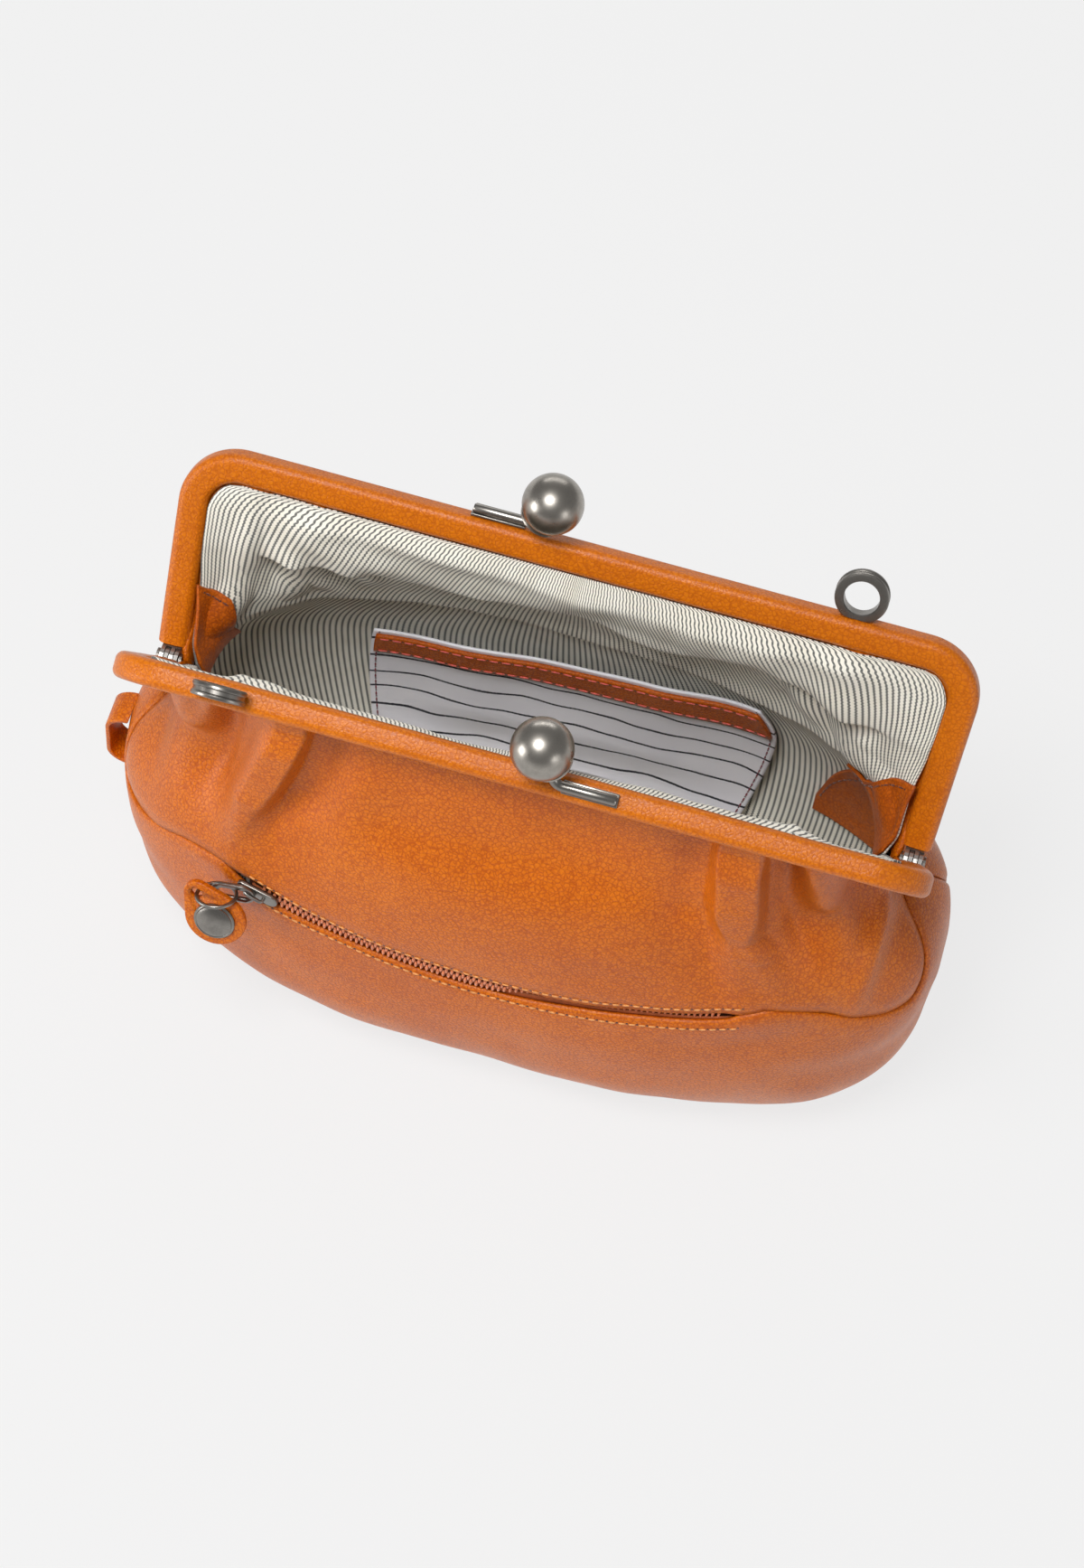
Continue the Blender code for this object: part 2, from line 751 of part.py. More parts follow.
def clasp_arm(name, x, parent):
    """Half-round bar on a plate, with a bent neck that ends in the cup under the ball."""
    rod_height = bar_top + clasp_plate_thickness + clasp_radius - clasp_sink
    ball = Vector((x, -ball_reach, ball_height))
    away = Vector(neck_direction).normalized()
    neck_end = ball + away * (ball_radius + touch_gap + cup_thickness / 2)
    bar_start = Vector((x - neck_run, cover_middle, rod_height))
    bar_end = Vector((x - clasp_length, cover_middle, rod_height))

    path = bpy.data.curves.new(name, 'CURVE')
    path.dimensions = '3D'
    path.bevel_depth = clasp_radius
    path.bevel_resolution = 2
    path.use_fill_caps = True
    spline = path.splines.new('POLY')
    steps = 6
    spline.points.add(steps + 1)
    corner = bar_start + Vector((neck_run * neck_bend_share, 0.0, 0.0))
    for index in range(steps + 1):
        share = index / steps
        point = (1 - share) ** 2 * neck_end + 2 * share * (1 - share) * corner + share ** 2 * bar_start
        spline.points[index].co = (*point, 1.0)
        spline.points[index].radius = (neck_radius + (clasp_radius - neck_radius) * share) / clasp_radius
    spline.points[steps + 1].co = (*bar_end, 1.0)
    rod_object = bpy.data.objects.new(f"{name}_rod", path)
    bpy.context.collection.objects.link(rod_object)
    rod_mesh = bpy.data.meshes.new_from_object(rod_object)
    bpy.data.objects.remove(rod_object, do_unlink=True)

    def rod(shape):
        shape.from_mesh(rod_mesh)
        bmesh.ops.remove_doubles(shape, verts=shape.verts[:], dist=weld_gap)
    arm = new_object(name, rod, nickel)
    arm.parent = parent

    plate_length = clasp_length - neck_run
    plate = block(f"{name}_plate", (plate_length, clasp_plate_width, clasp_plate_thickness),
                  (x - neck_run - plate_length / 2, cover_middle, bar_top + clasp_plate_thickness / 2), nickel)

    def cup_profile(shape):
        inner = ball_radius + touch_gap
        outer = inner + cup_thickness
        steps_round = 3
        turns = [cup_spread * step / steps_round for step in range(steps_round + 1)]
        rim = [(inner * math.sin(turn), -inner * math.cos(turn)) for turn in turns]
        rim += [(outer * math.sin(turn), -outer * math.cos(turn)) for turn in reversed(turns)]
        verts = [shape.verts.new((run, 0.0, rise)) for run, rise in rim]
        edges = [shape.edges.new((verts[index - 1], verts[index])) for index in range(1, len(verts))]
        bmesh.ops.spin(shape, geom=verts + edges, cent=(0, 0, 0), axis=(0, 0, 1), angle=2 * math.pi,
                       steps=round_sides, use_merge=True)
        bmesh.ops.remove_doubles(shape, verts=shape.verts[:], dist=weld_gap)
        turn = (-away).to_track_quat('Z', 'Y').to_matrix().to_4x4()
        bmesh.ops.transform(shape, matrix=Matrix.Translation(ball) @ turn, verts=shape.verts[:])
    cup = new_object(f"{name}_cup", cup_profile, nickel)
    for tool in (plate, cup):
        tool.parent = parent
        boolean(arm, mark_as_tool(tool), 'UNION')
    return arm


def strap_ring(name, x, parent):
    """Turned ring that stands on the bar, flattened where it seats."""
    middle_z = bar_top + ring_radius - ring_seat_depth
    section_radius = (ring_radius - ring_bore) / 2

    def build(shape):
        points = rounded_section(2 * section_radius, ring_width, ring_edge_radius, 1)
        verts = [shape.verts.new((ring_bore + section_radius + across, through, 0.0))
                 for across, through in points]
        edges = [shape.edges.new((verts[index - 1], verts[index])) for index in range(len(verts))]
        bmesh.ops.spin(shape, geom=verts + edges, cent=(0, 0, 0), axis=(0, 1, 0), angle=2 * math.pi,
                       steps=20, use_merge=True)
        bmesh.ops.remove_doubles(shape, verts=shape.verts[:], dist=weld_gap)
        bmesh.ops.translate(shape, vec=(x, cover_middle, middle_z), verts=shape.verts[:])
    ring = new_object(name, build, nickel)
    ring.parent = parent
    seat = block(f"{name}_seat", (4 * ring_radius, 4 * ring_radius, 2 * ring_radius),
                 (x, cover_middle, bar_top - ring_radius), nickel)
    seat.parent = parent
    boolean(ring, mark_as_tool(seat), 'DIFFERENCE')
    return ring


def frame_half(label, half_turn):
    """One frame half with its clasp and ring. The front half is the back one turned half round."""
    shift = -fitting_offset if half_turn else fitting_offset
    ball_x = shift - ball_radius - ball_pass_gap / 2
    parent = pivot(f"{label}_pivot", open_angle, half_turn)
    frame_core(f"{label}_frame_core", parent)
    frame_cover(f"{label}_frame_cover", parent)
    clasp_ball(f"{label}_clasp_ball", ball_x, parent)
    clasp_arm(f"{label}_clasp_arm", ball_x, parent)
    strap_ring(f"{label}_strap_ring", ring_spacing + shift, parent)


frame_half("back", False)
frame_half("front", True)


def hinge_pin(name, side):
    """Rivet through the four knuckles of one hinge, with a head at each end."""
    middle = side * leg_middle_x(core_end_height)
    reach = knuckle_width / 2 + touch_gap
    pin = cylinder(name, pin_radius, 2 * reach + pin_head_thickness, (middle, 0.0, hinge_height),
                   (1, 0, 0), nickel)
    for end in (1, -1):
        head_x = middle + end * (reach + pin_head_thickness / 2)
        head = cylinder(f"{name}_head_{'right' if end > 0 else 'left'}", pin_head_radius,
                        pin_head_thickness, (head_x, 0.0, hinge_height), (1, 0, 0), nickel)
        boolean(pin, mark_as_tool(head), 'UNION')


hinge_pin("hinge_pin_right", 1)
hinge_pin("hinge_pin_left", -1)


# The slider's track is an arc about a tilted axis. Its pieces are placed on the arc by this frame
track_inward = Vector((0.0, math.sin(zip_track_tilt), math.cos(zip_track_tilt)))
track_middle = wall_point(zip_centre, hinge_height - zip_drop, -1, 0.0)
track_centre = track_middle + track_inward * zip_track_radius
track_axis = Vector((1.0, 0.0, 0.0)).cross(track_inward)
rest_turn = math.asin((slider_start - zip_centre) / zip_track_radius)


def carrier(name, parent, matrix):
    """Empty that carries a moving piece, at a matrix in its parent's axes."""
    empty = bpy.data.objects.new(name, None)
    bpy.context.collection.objects.link(empty)
    empty.parent = parent
    empty.matrix_local = matrix
    return empty


def ride(piece, empty):
    piece.parent = empty
    return piece


# Slider axes: x along the zip, y into the bag, z up across the zip
slider_pivot = carrier("zip_slider_pivot", None, Matrix.Translation(track_centre))
slider_carrier = carrier("zip_slider_carrier", slider_pivot,
                       Matrix.Rotation(rest_turn, 4, track_axis) @ Matrix.Translation(track_middle - track_centre))


def plate_solid(name, outline, thickness, material):
    """Flat plate in the x-z plane from an outline, its middle on y = 0."""
    def build(shape):
        verts = [shape.verts.new((x, -thickness / 2, z)) for x, z in outline]
        face = shape.faces.new(verts)
        grown = bmesh.ops.extrude_face_region(shape, geom=[face], use_keep_orig=True)
        bmesh.ops.translate(shape, vec=(0.0, thickness, 0.0),
                            verts=[item for item in grown["geom"] if isinstance(item, bmesh.types.BMVert)])
    return new_object(name, build, material)


def two_circle_outline(near_radius, far_radius, distance, steps):
    """Outline round two circles on the x axis, the near one about the origin."""
    lean = math.asin((far_radius - near_radius) / distance)
    points = []
    for centre, radius, start, sweep in ((distance, far_radius, -math.pi / 2 - lean, math.pi + 2 * lean),
                                         (0.0, near_radius, math.pi / 2 + lean, math.pi - 2 * lean)):
        for step in range(steps + 1):
            angle = start + sweep * step / steps
            points.append((centre + radius * math.cos(angle), radius * math.sin(angle)))
    return points


def zip_slider():
    """Shield-shaped plate with an arch along its back, under which the pull's link turns."""
    nose = slider_height / 2
    outline = two_circle_outline(nose / 2, nose, slider_length - nose - nose / 2, 6)
    slider = ride(plate_solid("zip_slider", outline, slider_thickness, nickel), slider_carrier)
    middle = (slider_length - 3 * nose / 2) / 2
    slider.location = (-middle, slider_sink - slider_thickness / 2, 0.0)
    reach = bail_half_length + bail_radius
    outer = block("bail_outer", (2 * reach, bail_height + 2 * bail_radius, 2 * bail_radius),
                  (middle, -bail_height / 2, 0.0), nickel)
    inner = block("bail_inner", (2 * (bail_half_length - bail_radius), bail_height, 4 * bail_radius),
                  (middle, -slider_thickness / 2 - bail_height / 2 + bail_radius, 0.0), nickel)
    for tool, operation in ((outer, 'UNION'), (inner, 'DIFFERENCE')):
        tool.parent = slider
        boolean(slider, mark_as_tool(tool), operation)


zip_slider()

# Link axes: x from the bail along the link, y into the bag, z down across the zip
link_carrier = carrier("pull_link_pivot", slider_carrier,
                     Matrix.Translation((0.0, slider_sink - slider_thickness - (bail_height - bail_radius) / 2, 0.0))
                     @ Matrix.Rotation(math.pi - link_droop, 4, 'Y')
                     @ Matrix.Rotation(-link_tilt, 4, 'Z'))


def oval_outline(start, end, half_height, steps):
    """Outline with two round ends between two places on the x axis."""
    radius = min(half_height, (end - start) / 2)
    points = []
    for centre, turn in ((end - radius, -math.pi / 2), (start + radius, math.pi / 2)):
        for step in range(steps + 1):
            angle = turn + math.pi * step / steps
            points.append((centre + radius * math.cos(angle), half_height * math.sin(angle)))
    return points


def pull_link():
    """Flat oval link. Its thin end bar turns under the slider's arch."""
    eye = link_thickness / 2
    link = ride(plate_solid("pull_link", oval_outline(-eye, link_length - eye, link_height / 2, 8),
                            link_thickness, nickel), link_carrier)
    hole = plate_solid("pull_link_hole", oval_outline(eye, link_length - eye - link_wall,
                                                      link_height / 2 - link_wall, 8),
                       link_thickness + 2 * cut_overrun, nickel)
    boolean(link, mark_as_tool(ride(hole, link_carrier)), 'DIFFERENCE')


pull_link()

# The wire ring passes through the link's hole and round its far end, about which it swings
ring_outward = Vector((0.0, -math.sin(pull_ring_turn), -math.cos(pull_ring_turn)))
link_end_middle = Vector((link_length - link_thickness / 2 - link_wall / 2, 0.0, 0.0))
half_chord = math.sqrt(pull_ring_radius ** 2 - pull_ring_lift ** 2)
pull_ring_middle = Vector((pull_ring_entry + half_chord, 0.0, 0.0)) + ring_outward * pull_ring_lift
ring_carrier = carrier("pull_ring_pivot", link_carrier, Matrix.Translation(link_end_middle))
ring_turned = Matrix((Vector((1.0, 0.0, 0.0)), ring_outward.cross(Vector((1.0, 0.0, 0.0))), ring_outward))
ring_turned = ring_turned.transposed().to_4x4()


def pull_ring():
    """Round wire ring."""
    def build(shape):
        bmesh.ops.create_circle(shape, segments=wire_sides, radius=pull_ring_wire,
                                matrix=Matrix.Translation((pull_ring_radius, 0.0, 0.0))
                                @ Matrix.Rotation(math.pi / 2, 4, 'X'))
        bmesh.ops.spin(shape, geom=shape.verts[:] + shape.edges[:], cent=(0, 0, 0), axis=(0, 0, 1),
                       angle=math.tau, steps=20, use_merge=True)
        bmesh.ops.remove_doubles(shape, verts=shape.verts[:], dist=weld_gap)
        upright = Matrix.Rotation(math.pi / 2, 4, 'X')
        placed = Matrix.Translation(pull_ring_middle - link_end_middle) @ ring_turned @ upright
        bmesh.ops.transform(shape, matrix=placed, verts=shape.verts[:])
    ride(new_object("pull_ring", build, nickel), ring_carrier)


pull_ring()

# Tab axes: x from its hole towards its round end, y into the bag along the ring's wire
tab_hole = pull_ring_middle + Vector((pull_ring_radius, 0.0, 0.0)) - link_end_middle
tab_carrier = carrier("pull_tab_pivot", ring_carrier,
                      Matrix.Translation(tab_hole) @ ring_turned @ Matrix.Rotation(-math.pi / 2, 4, 'X')
                      @ Matrix.Rotation(math.pi + tab_turn, 4, 'Y'))


def pull_tab():
    """Leather tab with a hole for the ring, and a domed rivet through its round end."""
    far_radius = tab_width / 2
    distance = tab_length - tab_hole_inset - far_radius
    outline = two_circle_outline(tab_hole_inset, far_radius, distance, 10)
    tab = ride(plate_solid("pull_tab", outline, tab_thickness, leather), tab_carrier)
    for label, x, radius in (("eye", 0.0, tab_hole_radius), ("rivet_hole", distance, rivet_shank + touch_gap)):
        hole = cylinder(f"pull_tab_{label}", radius, tab_thickness + 2 * cut_overrun, (x, 0.0, 0.0),
                        (0, 1, 0), leather)
        boolean(tab, mark_as_tool(ride(hole, tab_carrier)), 'DIFFERENCE')

    face = tab_thickness / 2 + touch_gap
    steps = 5
    dome = [(rivet_radius * math.cos(math.pi / 2 * step / steps),
             face + rivet_edge + (rivet_height - rivet_edge) * math.sin(math.pi / 2 * step / steps))
            for step in range(steps)]
    profile = [(0.0, -face - rivet_back), (rivet_back_radius, -face - rivet_back), (rivet_back_radius, -face),
               (rivet_shank, -face), (rivet_shank, face), (rivet_radius, face)]
    profile += dome + [(0.0, face + rivet_height)]

    def build(shape):
        verts = [shape.verts.new((radius, 0.0, rise)) for radius, rise in profile]
        edges = [shape.edges.new((low, high)) for low, high in zip(verts, verts[1:])]
        bmesh.ops.spin(shape, geom=verts + edges, cent=(0, 0, 0), axis=(0, 0, 1), angle=math.tau,
                       steps=round_sides, use_merge=True)
        bmesh.ops.remove_doubles(shape, verts=shape.verts[:], dist=weld_gap)
        turn = Matrix.Translation((distance, 0.0, 0.0)) @ Matrix.Rotation(math.pi / 2, 4, 'X')
        bmesh.ops.transform(shape, matrix=turn, verts=shape.verts[:])
    ride(new_object("pull_rivet", build, nickel), tab_carrier)


pull_tab()


def side_loop():
    """Leather strap bent to a D against the left end of the gusset."""
    middle = hinge_height - loop_drop
    bend = loop_stand_off + loop_thickness / 2
    half = loop_height / 2
    steps = 5
    path = []
    for turn_z, start in ((half - bend, math.pi / 2), (bend - half, 0.0)):
        for step in range(steps + 1):
            angle = start - math.pi / 2 * step / steps
            path.append((math.cos(angle), math.sin(angle), turn_z))

    def point(out, up):
        wall_x = body_point(-1.0, level_at(middle + up), -1, 0.0).x
        return (wall_x - touch_gap - out, -loop_forward - loop_width / 2, middle + up)

    def build(shape):
        rows = []
        for cosine, sine, turn_z in path:
            rows.append([shape.verts.new(point(radius * cosine, turn_z + radius * sine))
                         for radius in (bend - loop_thickness / 2, bend + loop_thickness / 2)])
        for low, high in zip(rows, rows[1:]):
            shape.faces.new((low[0], low[1], high[1], high[0]))
        grown = bmesh.ops.extrude_face_region(shape, geom=shape.faces[:], use_keep_orig=True)
        bmesh.ops.translate(shape, vec=(0.0, loop_width, 0.0),
                            verts=[item for item in grown["geom"] if isinstance(item, bmesh.types.BMVert)])
    new_object("side_loop", build, leather)


side_loop()

# Slider travel and joint places, for whoever poses the model
end_turn = math.asin((zip_half_length - slider_end_run) / zip_track_radius)
bpy.context.view_layer.update()
print("slider axis point", tuple(round(value, 5) for value in track_centre))
print("slider axis", tuple(round(value, 5) for value in track_axis))
print("slider travel", round(math.degrees(end_turn - rest_turn), 2), "degrees")
for empty, local in ((link_carrier, Vector((0, 0, 1))), (ring_carrier, Vector((0, 0, 1))),
                       (tab_carrier, Vector((0, 1, 0)))):
    matrix = empty.matrix_world
    axis = (matrix.to_3x3() @ local).normalized()
    print(empty.name, tuple(round(value, 5) for value in matrix.translation),
          tuple(round(value, 5) for value in axis))
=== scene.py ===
# %% [markdown]
# # A kiss-lock clutch in tan leather
# This notebook dresses a finished CAD model of a small frame bag. The CAD gives every size and joint.
# Here each piece gets the form and finish that the real one has: soft leather gathered to a hinged
# frame, a ticking-striped lining, dark nickel balls and a curved zip. The first cell loads the CAD
# model as a fixed frame.

# %% Load the fixed frame
import math
from functools import lru_cache

import bmesh
import bpy
from mathutils import Matrix, Vector, noise
from mathutils.bvhtree import BVHTree


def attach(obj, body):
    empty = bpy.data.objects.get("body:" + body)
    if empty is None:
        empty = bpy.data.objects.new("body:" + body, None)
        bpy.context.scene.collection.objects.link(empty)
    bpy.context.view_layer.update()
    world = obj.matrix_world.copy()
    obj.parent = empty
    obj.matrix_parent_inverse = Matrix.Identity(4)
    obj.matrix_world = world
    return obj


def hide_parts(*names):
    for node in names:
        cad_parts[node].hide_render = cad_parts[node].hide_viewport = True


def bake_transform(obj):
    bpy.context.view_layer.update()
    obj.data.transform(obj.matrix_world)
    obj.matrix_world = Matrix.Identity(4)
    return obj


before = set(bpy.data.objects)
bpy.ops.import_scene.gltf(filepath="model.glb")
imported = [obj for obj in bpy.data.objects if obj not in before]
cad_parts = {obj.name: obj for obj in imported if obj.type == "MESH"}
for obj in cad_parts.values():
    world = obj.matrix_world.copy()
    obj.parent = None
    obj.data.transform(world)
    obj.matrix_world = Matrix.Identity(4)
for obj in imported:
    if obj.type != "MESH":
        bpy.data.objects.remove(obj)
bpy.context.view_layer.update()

# %% [markdown]
# ## Camera
# The picture is taken from high in front, slightly from the right, with the camera rolled by some
# eight degrees. The camera is placed by angles and a distance from the middle of the hinge line,
# because those are easy to read and to change. Its lens follows from the focal length in pixels.


# %% Camera
def facing_along(x_axis, y_axis, z_axis):
    """Turn that brings the three axes to the given directions."""
    return Matrix((x_axis, y_axis, z_axis)).transposed().to_4x4()


hinge_height = 0.120
camera_turn = math.radians(8.0)
camera_lift = math.radians(60.0)
camera_roll = math.radians(8.4)
camera_distance = 1.3388
camera_right = 0.0024
camera_up = -0.0080
picture_height = 1735
focal_pixels = 4514
sensor = 36.0

back_axis = Vector((math.sin(camera_turn) * math.cos(camera_lift),
                    -math.cos(camera_turn) * math.cos(camera_lift), math.sin(camera_lift)))
right_axis = Vector((math.cos(camera_turn), math.sin(camera_turn), 0.0))
up_axis = back_axis.cross(right_axis)
across_axis = right_axis * math.cos(camera_roll) + up_axis * math.sin(camera_roll)
upward_axis = up_axis * math.cos(camera_roll) - right_axis * math.sin(camera_roll)

camera_data = bpy.data.cameras.new("camera")
camera_data.sensor_width = sensor
camera_data.lens = focal_pixels / picture_height * sensor
camera = bpy.data.objects.new("camera", camera_data)
bpy.context.collection.objects.link(camera)
camera_matrix = facing_along(across_axis, upward_axis, back_axis)
camera_matrix.translation = (Vector((0.0, 0.0, hinge_height)) + back_axis * camera_distance
                             + right_axis * camera_right + up_axis * camera_up)
camera.matrix_world = camera_matrix
bpy.context.scene.camera = camera
print("camera at", tuple(round(value, 3) for value in camera_matrix.translation))

# %% [markdown]
# ## Floor, world and lamps
# A bag like this is shown on plain pale paper. Paper that is only lit would need lamps that burn out
# the bag, so the floor glows a little for the camera, stays an even pale grey and keeps a soft shadow.
# The overhead lamp gives most of the light, the world fills the shadows, and the other lamps give the
# leather and the metal their broad highlights.

# %% Floor and light
paper = (0.885, 0.885, 0.885)
floor_half_size = 6.0
floor_gap = 0.0004


def link_nodes(tree, kind, inputs=None, **settings):
    """New node whose inputs are given as values or as sockets to link."""
    made = tree.nodes.new(kind)
    for key, value in settings.items():
        setattr(made, key, value)
    for key, value in (inputs or {}).items():
        if isinstance(value, bpy.types.NodeSocket):
            tree.links.new(value, made.inputs[key])
        else:
            made.inputs[key].default_value = value
    return made


def paper_floor():
    material = bpy.data.materials.new("paper floor")
    material.use_nodes = True
    tree = material.node_tree
    tree.nodes.clear()
    output = tree.nodes.new("ShaderNodeOutputMaterial")
    rays = tree.nodes.new("ShaderNodeLightPath")
    matt = link_nodes(tree, "ShaderNodeBsdfDiffuse", {"Color": (*paper, 1.0)})
    glow = link_nodes(tree, "ShaderNodeEmission", {"Color": (*paper, 1.0), "Strength": 1.0})
    seen = link_nodes(tree, "ShaderNodeMath", {0: rays.outputs["Is Camera Ray"],
                                               1: rays.outputs["Is Glossy Ray"]}, operation='MAXIMUM')
    through = link_nodes(tree, "ShaderNodeMath", {0: seen.outputs[0],
                                                  1: rays.outputs["Is Transmission Ray"]},
                         operation='MAXIMUM')
    share = link_nodes(tree, "ShaderNodeMath", {0: through.outputs[0], 1: 0.88}, operation='MULTIPLY')
    mix = link_nodes(tree, "ShaderNodeMixShader", {0: share.outputs[0], 1: matt.outputs[0],
                                                   2: glow.outputs[0]})
    tree.links.new(mix.outputs[0], output.inputs["Surface"])
    return material


floor_shape = bmesh.new()
bmesh.ops.create_grid(floor_shape, x_segments=1, y_segments=1, size=floor_half_size)
floor_mesh = bpy.data.meshes.new("floor")
floor_shape.to_mesh(floor_mesh)
floor_shape.free()
floor_mesh.materials.append(paper_floor())
floor = bpy.data.objects.new("floor", floor_mesh)
bpy.context.collection.objects.link(floor)
floor.location.z = -floor_gap

world = bpy.data.worlds.new("studio")
world.use_nodes = True
bpy.context.scene.world = world
sky = world.node_tree
sky_rays = sky.nodes.new("ShaderNodeLightPath")
sky_strength = link_nodes(sky, "ShaderNodeMapRange", {"Value": sky_rays.outputs["Is Glossy Ray"],
                                                      "To Min": 0.20, "To Max": 0.28}).outputs[0]
sky.nodes["Background"].inputs["Color"].default_value = (1.0, 1.0, 1.0, 1.0)
sky_seen = link_nodes(sky, "ShaderNodeMath", {0: sky_rays.outputs["Is Camera Ray"], 1: paper[0]},
                      operation='MULTIPLY').outputs[0]
sky_level = link_nodes(sky, "ShaderNodeMath", {0: sky_strength, 1: sky_seen},
                       operation='MAXIMUM').outputs[0]
sky.links.new(sky_level, sky.nodes["Background"].inputs["Strength"])

bpy.context.scene.view_settings.view_transform = 'Standard'


def soft_lamp(name, place, size, power, target=(0.0, 0.0, 0.10)):
    data = bpy.data.lights.new(name, 'AREA')
    data.shape = 'RECTANGLE'
    data.size, data.size_y = size
    data.energy = power
    lamp = bpy.data.objects.new(name, data)
    bpy.context.collection.objects.link(lamp)
    lamp.location = place
    lamp.rotation_euler = (Vector(place) - Vector(target)).to_track_quat('Z', 'Y').to_euler()
    return lamp


soft_lamp("overhead", (-0.25, -0.42, 1.35), (0.45, 0.45), 14.5)
soft_lamp("front left", (-1.05, -0.55, 0.30), (0.45, 0.45), 5.0)
soft_lamp("front right", (0.95, -0.60, 0.35), (0.40, 0.40), 1.6)
soft_lamp("rim", (-0.20, 1.05, 0.55), (1.0, 0.25), 2.5)
print("floor, world and four lamps")

# %% [markdown]
# ## Leather
# Vegetable-tanned leather has pores and fine cells, darker and lighter clouds of colour, and a waxy
# sheen that breaks up with the grain. A photograph of leather would repeat and stretch over the folds.
# Here all of it comes from noise and cells on Object coordinates, so neighbouring pieces share one
# hide and the grain stays the same size everywhere.


# %% Helpers for materials
def new_material(name, roughness, metallic=0.0):
    material = bpy.data.materials.new(name)
    material.use_nodes = True
    tree = material.node_tree
    shader = tree.nodes["Principled BSDF"]
    shader.inputs["Roughness"].default_value = roughness
    shader.inputs["Metallic"].default_value = metallic
    return material, tree, shader


def colour_ramp(tree, factor, stops):
    ramp = tree.nodes.new("ShaderNodeValToRGB")
    tree.links.new(factor, ramp.inputs[0])
    while len(ramp.color_ramp.elements) < len(stops):
        ramp.color_ramp.elements.new(0.5)
    for element, (place, colour) in zip(ramp.color_ramp.elements, stops):
        element.position = place
        element.color = (*colour, 1.0)
    return ramp.outputs[0]


def value_ramp(tree, factor, low_in, high_in, low_out, high_out):
    return link_nodes(tree, "ShaderNodeMapRange", {"Value": factor, "From Min": low_in, "From Max": high_in,
                                                   "To Min": low_out, "To Max": high_out}).outputs[0]


def maths(tree, operation, first, second=0.0):
    return link_nodes(tree, "ShaderNodeMath", {0: first, 1: second}, operation=operation).outputs[0]


def weighted(tree, *pairs):
    """Sum of sockets, each times its weight."""
    total = None
    for socket, weight in pairs:
        part = maths(tree, 'MULTIPLY', socket, weight)
        total = part if total is None else maths(tree, 'ADD', total, part)
    return total


def ripple(tree, run, pitch):
    """Rises from 0 to 0.5 and falls again once in every pitch."""
    return maths(tree, 'PINGPONG', maths(tree, 'MULTIPLY', run, 1 / pitch), 0.5)


def object_place(tree):
    return tree.nodes.new("ShaderNodeTexCoord").outputs["Object"]


def noise_at(tree, place, scale, detail, output=0, **more):
    made = link_nodes(tree, "ShaderNodeTexNoise", {"Vector": place, "Scale": scale, "Detail": detail, **more})
    return made.outputs[output]


def tinted(colour, factor):
    return tuple(min(value * factor, 1.0) for value in colour)


def bumped(tree, shader, height, distance, strength=1.0):
    bump = link_nodes(tree, "ShaderNodeBump", {"Height": height, "Distance": distance, "Strength": strength})
    tree.links.new(bump.outputs[0], shader.inputs["Normal"])


# %% Leather
def leather_material(name, dark, middle, light, roughness, grain=1.0):
    material, tree, shader = new_material(name, roughness)
    place = object_place(tree)
    clouds = noise_at(tree, place, 16.0, 6.0, Roughness=0.62, Distortion=0.6)
    fine = noise_at(tree, place, 420.0, 4.0, Roughness=0.7)
    warped = noise_at(tree, place, 260.0, 2.0, output="Color")
    shift = link_nodes(tree, "ShaderNodeVectorMath", {0: warped, "Scale": 0.0011}, operation='SCALE')
    bent = link_nodes(tree, "ShaderNodeVectorMath", {0: place, 1: shift.outputs[0]}, operation='ADD')
    cells = link_nodes(tree, "ShaderNodeTexVoronoi", {"Vector": bent.outputs[0], "Scale": 680.0},
                       feature='DISTANCE_TO_EDGE').outputs["Distance"]
    pores = noise_at(tree, place, 1300.0, 3.0, Roughness=0.6)
    pebbles = value_ramp(tree, cells, 0.0, 0.20, 0.0, 1.0)
    specks = value_ramp(tree, pores, 0.38, 0.60, 0.0, 1.0)
    tone = weighted(tree, (clouds, 0.34), (fine, 0.22), (pebbles, 0.25 * grain), (specks, 0.16 * grain))
    centre = 0.28 + 0.28 * grain
    colour = colour_ramp(tree, tone, [(centre - 0.19, dark), (centre, middle), (centre + 0.17, light)])
    tree.links.new(colour, shader.inputs["Base Color"])
    gloss = value_ramp(tree, clouds, 0.3, 0.7, roughness + 0.06, roughness - 0.06)
    gloss = maths(tree, 'ADD', gloss, maths(tree, 'MULTIPLY', fine, 0.08))
    tree.links.new(gloss, shader.inputs["Roughness"])
    relief = weighted(tree, (pebbles, 0.50 * grain), (fine, 0.8), (specks, 0.45 * grain))
    bumped(tree, shader, relief, 0.00012)
    shader.inputs["Specular IOR Level"].default_value = 0.31
    shader.inputs["Coat Weight"].default_value = 0.04
    shader.inputs["Coat Roughness"].default_value = 0.30
    return material


tan_leather = leather_material("tan leather", (0.43, 0.078, 0.001), (0.585, 0.132, 0.001),
                               (0.67, 0.174, 0.003), 0.31)
frame_leather = leather_material("frame leather", (0.48, 0.104, 0.001), (0.61, 0.150, 0.001),
                                 (0.69, 0.188, 0.003), 0.31, grain=0.85)
inner_leather = leather_material("inner leather", (0.36, 0.064, 0.001), (0.50, 0.098, 0.001),
                                 (0.60, 0.13, 0.003), 0.46)
print("three leathers")


# %% [markdown]
# ## Metals
# The fittings are plated in dark nickel and rubbed until the plating looks a little cloudy. A plain
# metal shader looks like a mirror, so a slow noise darkens it, roughens it and breaks up the lights.


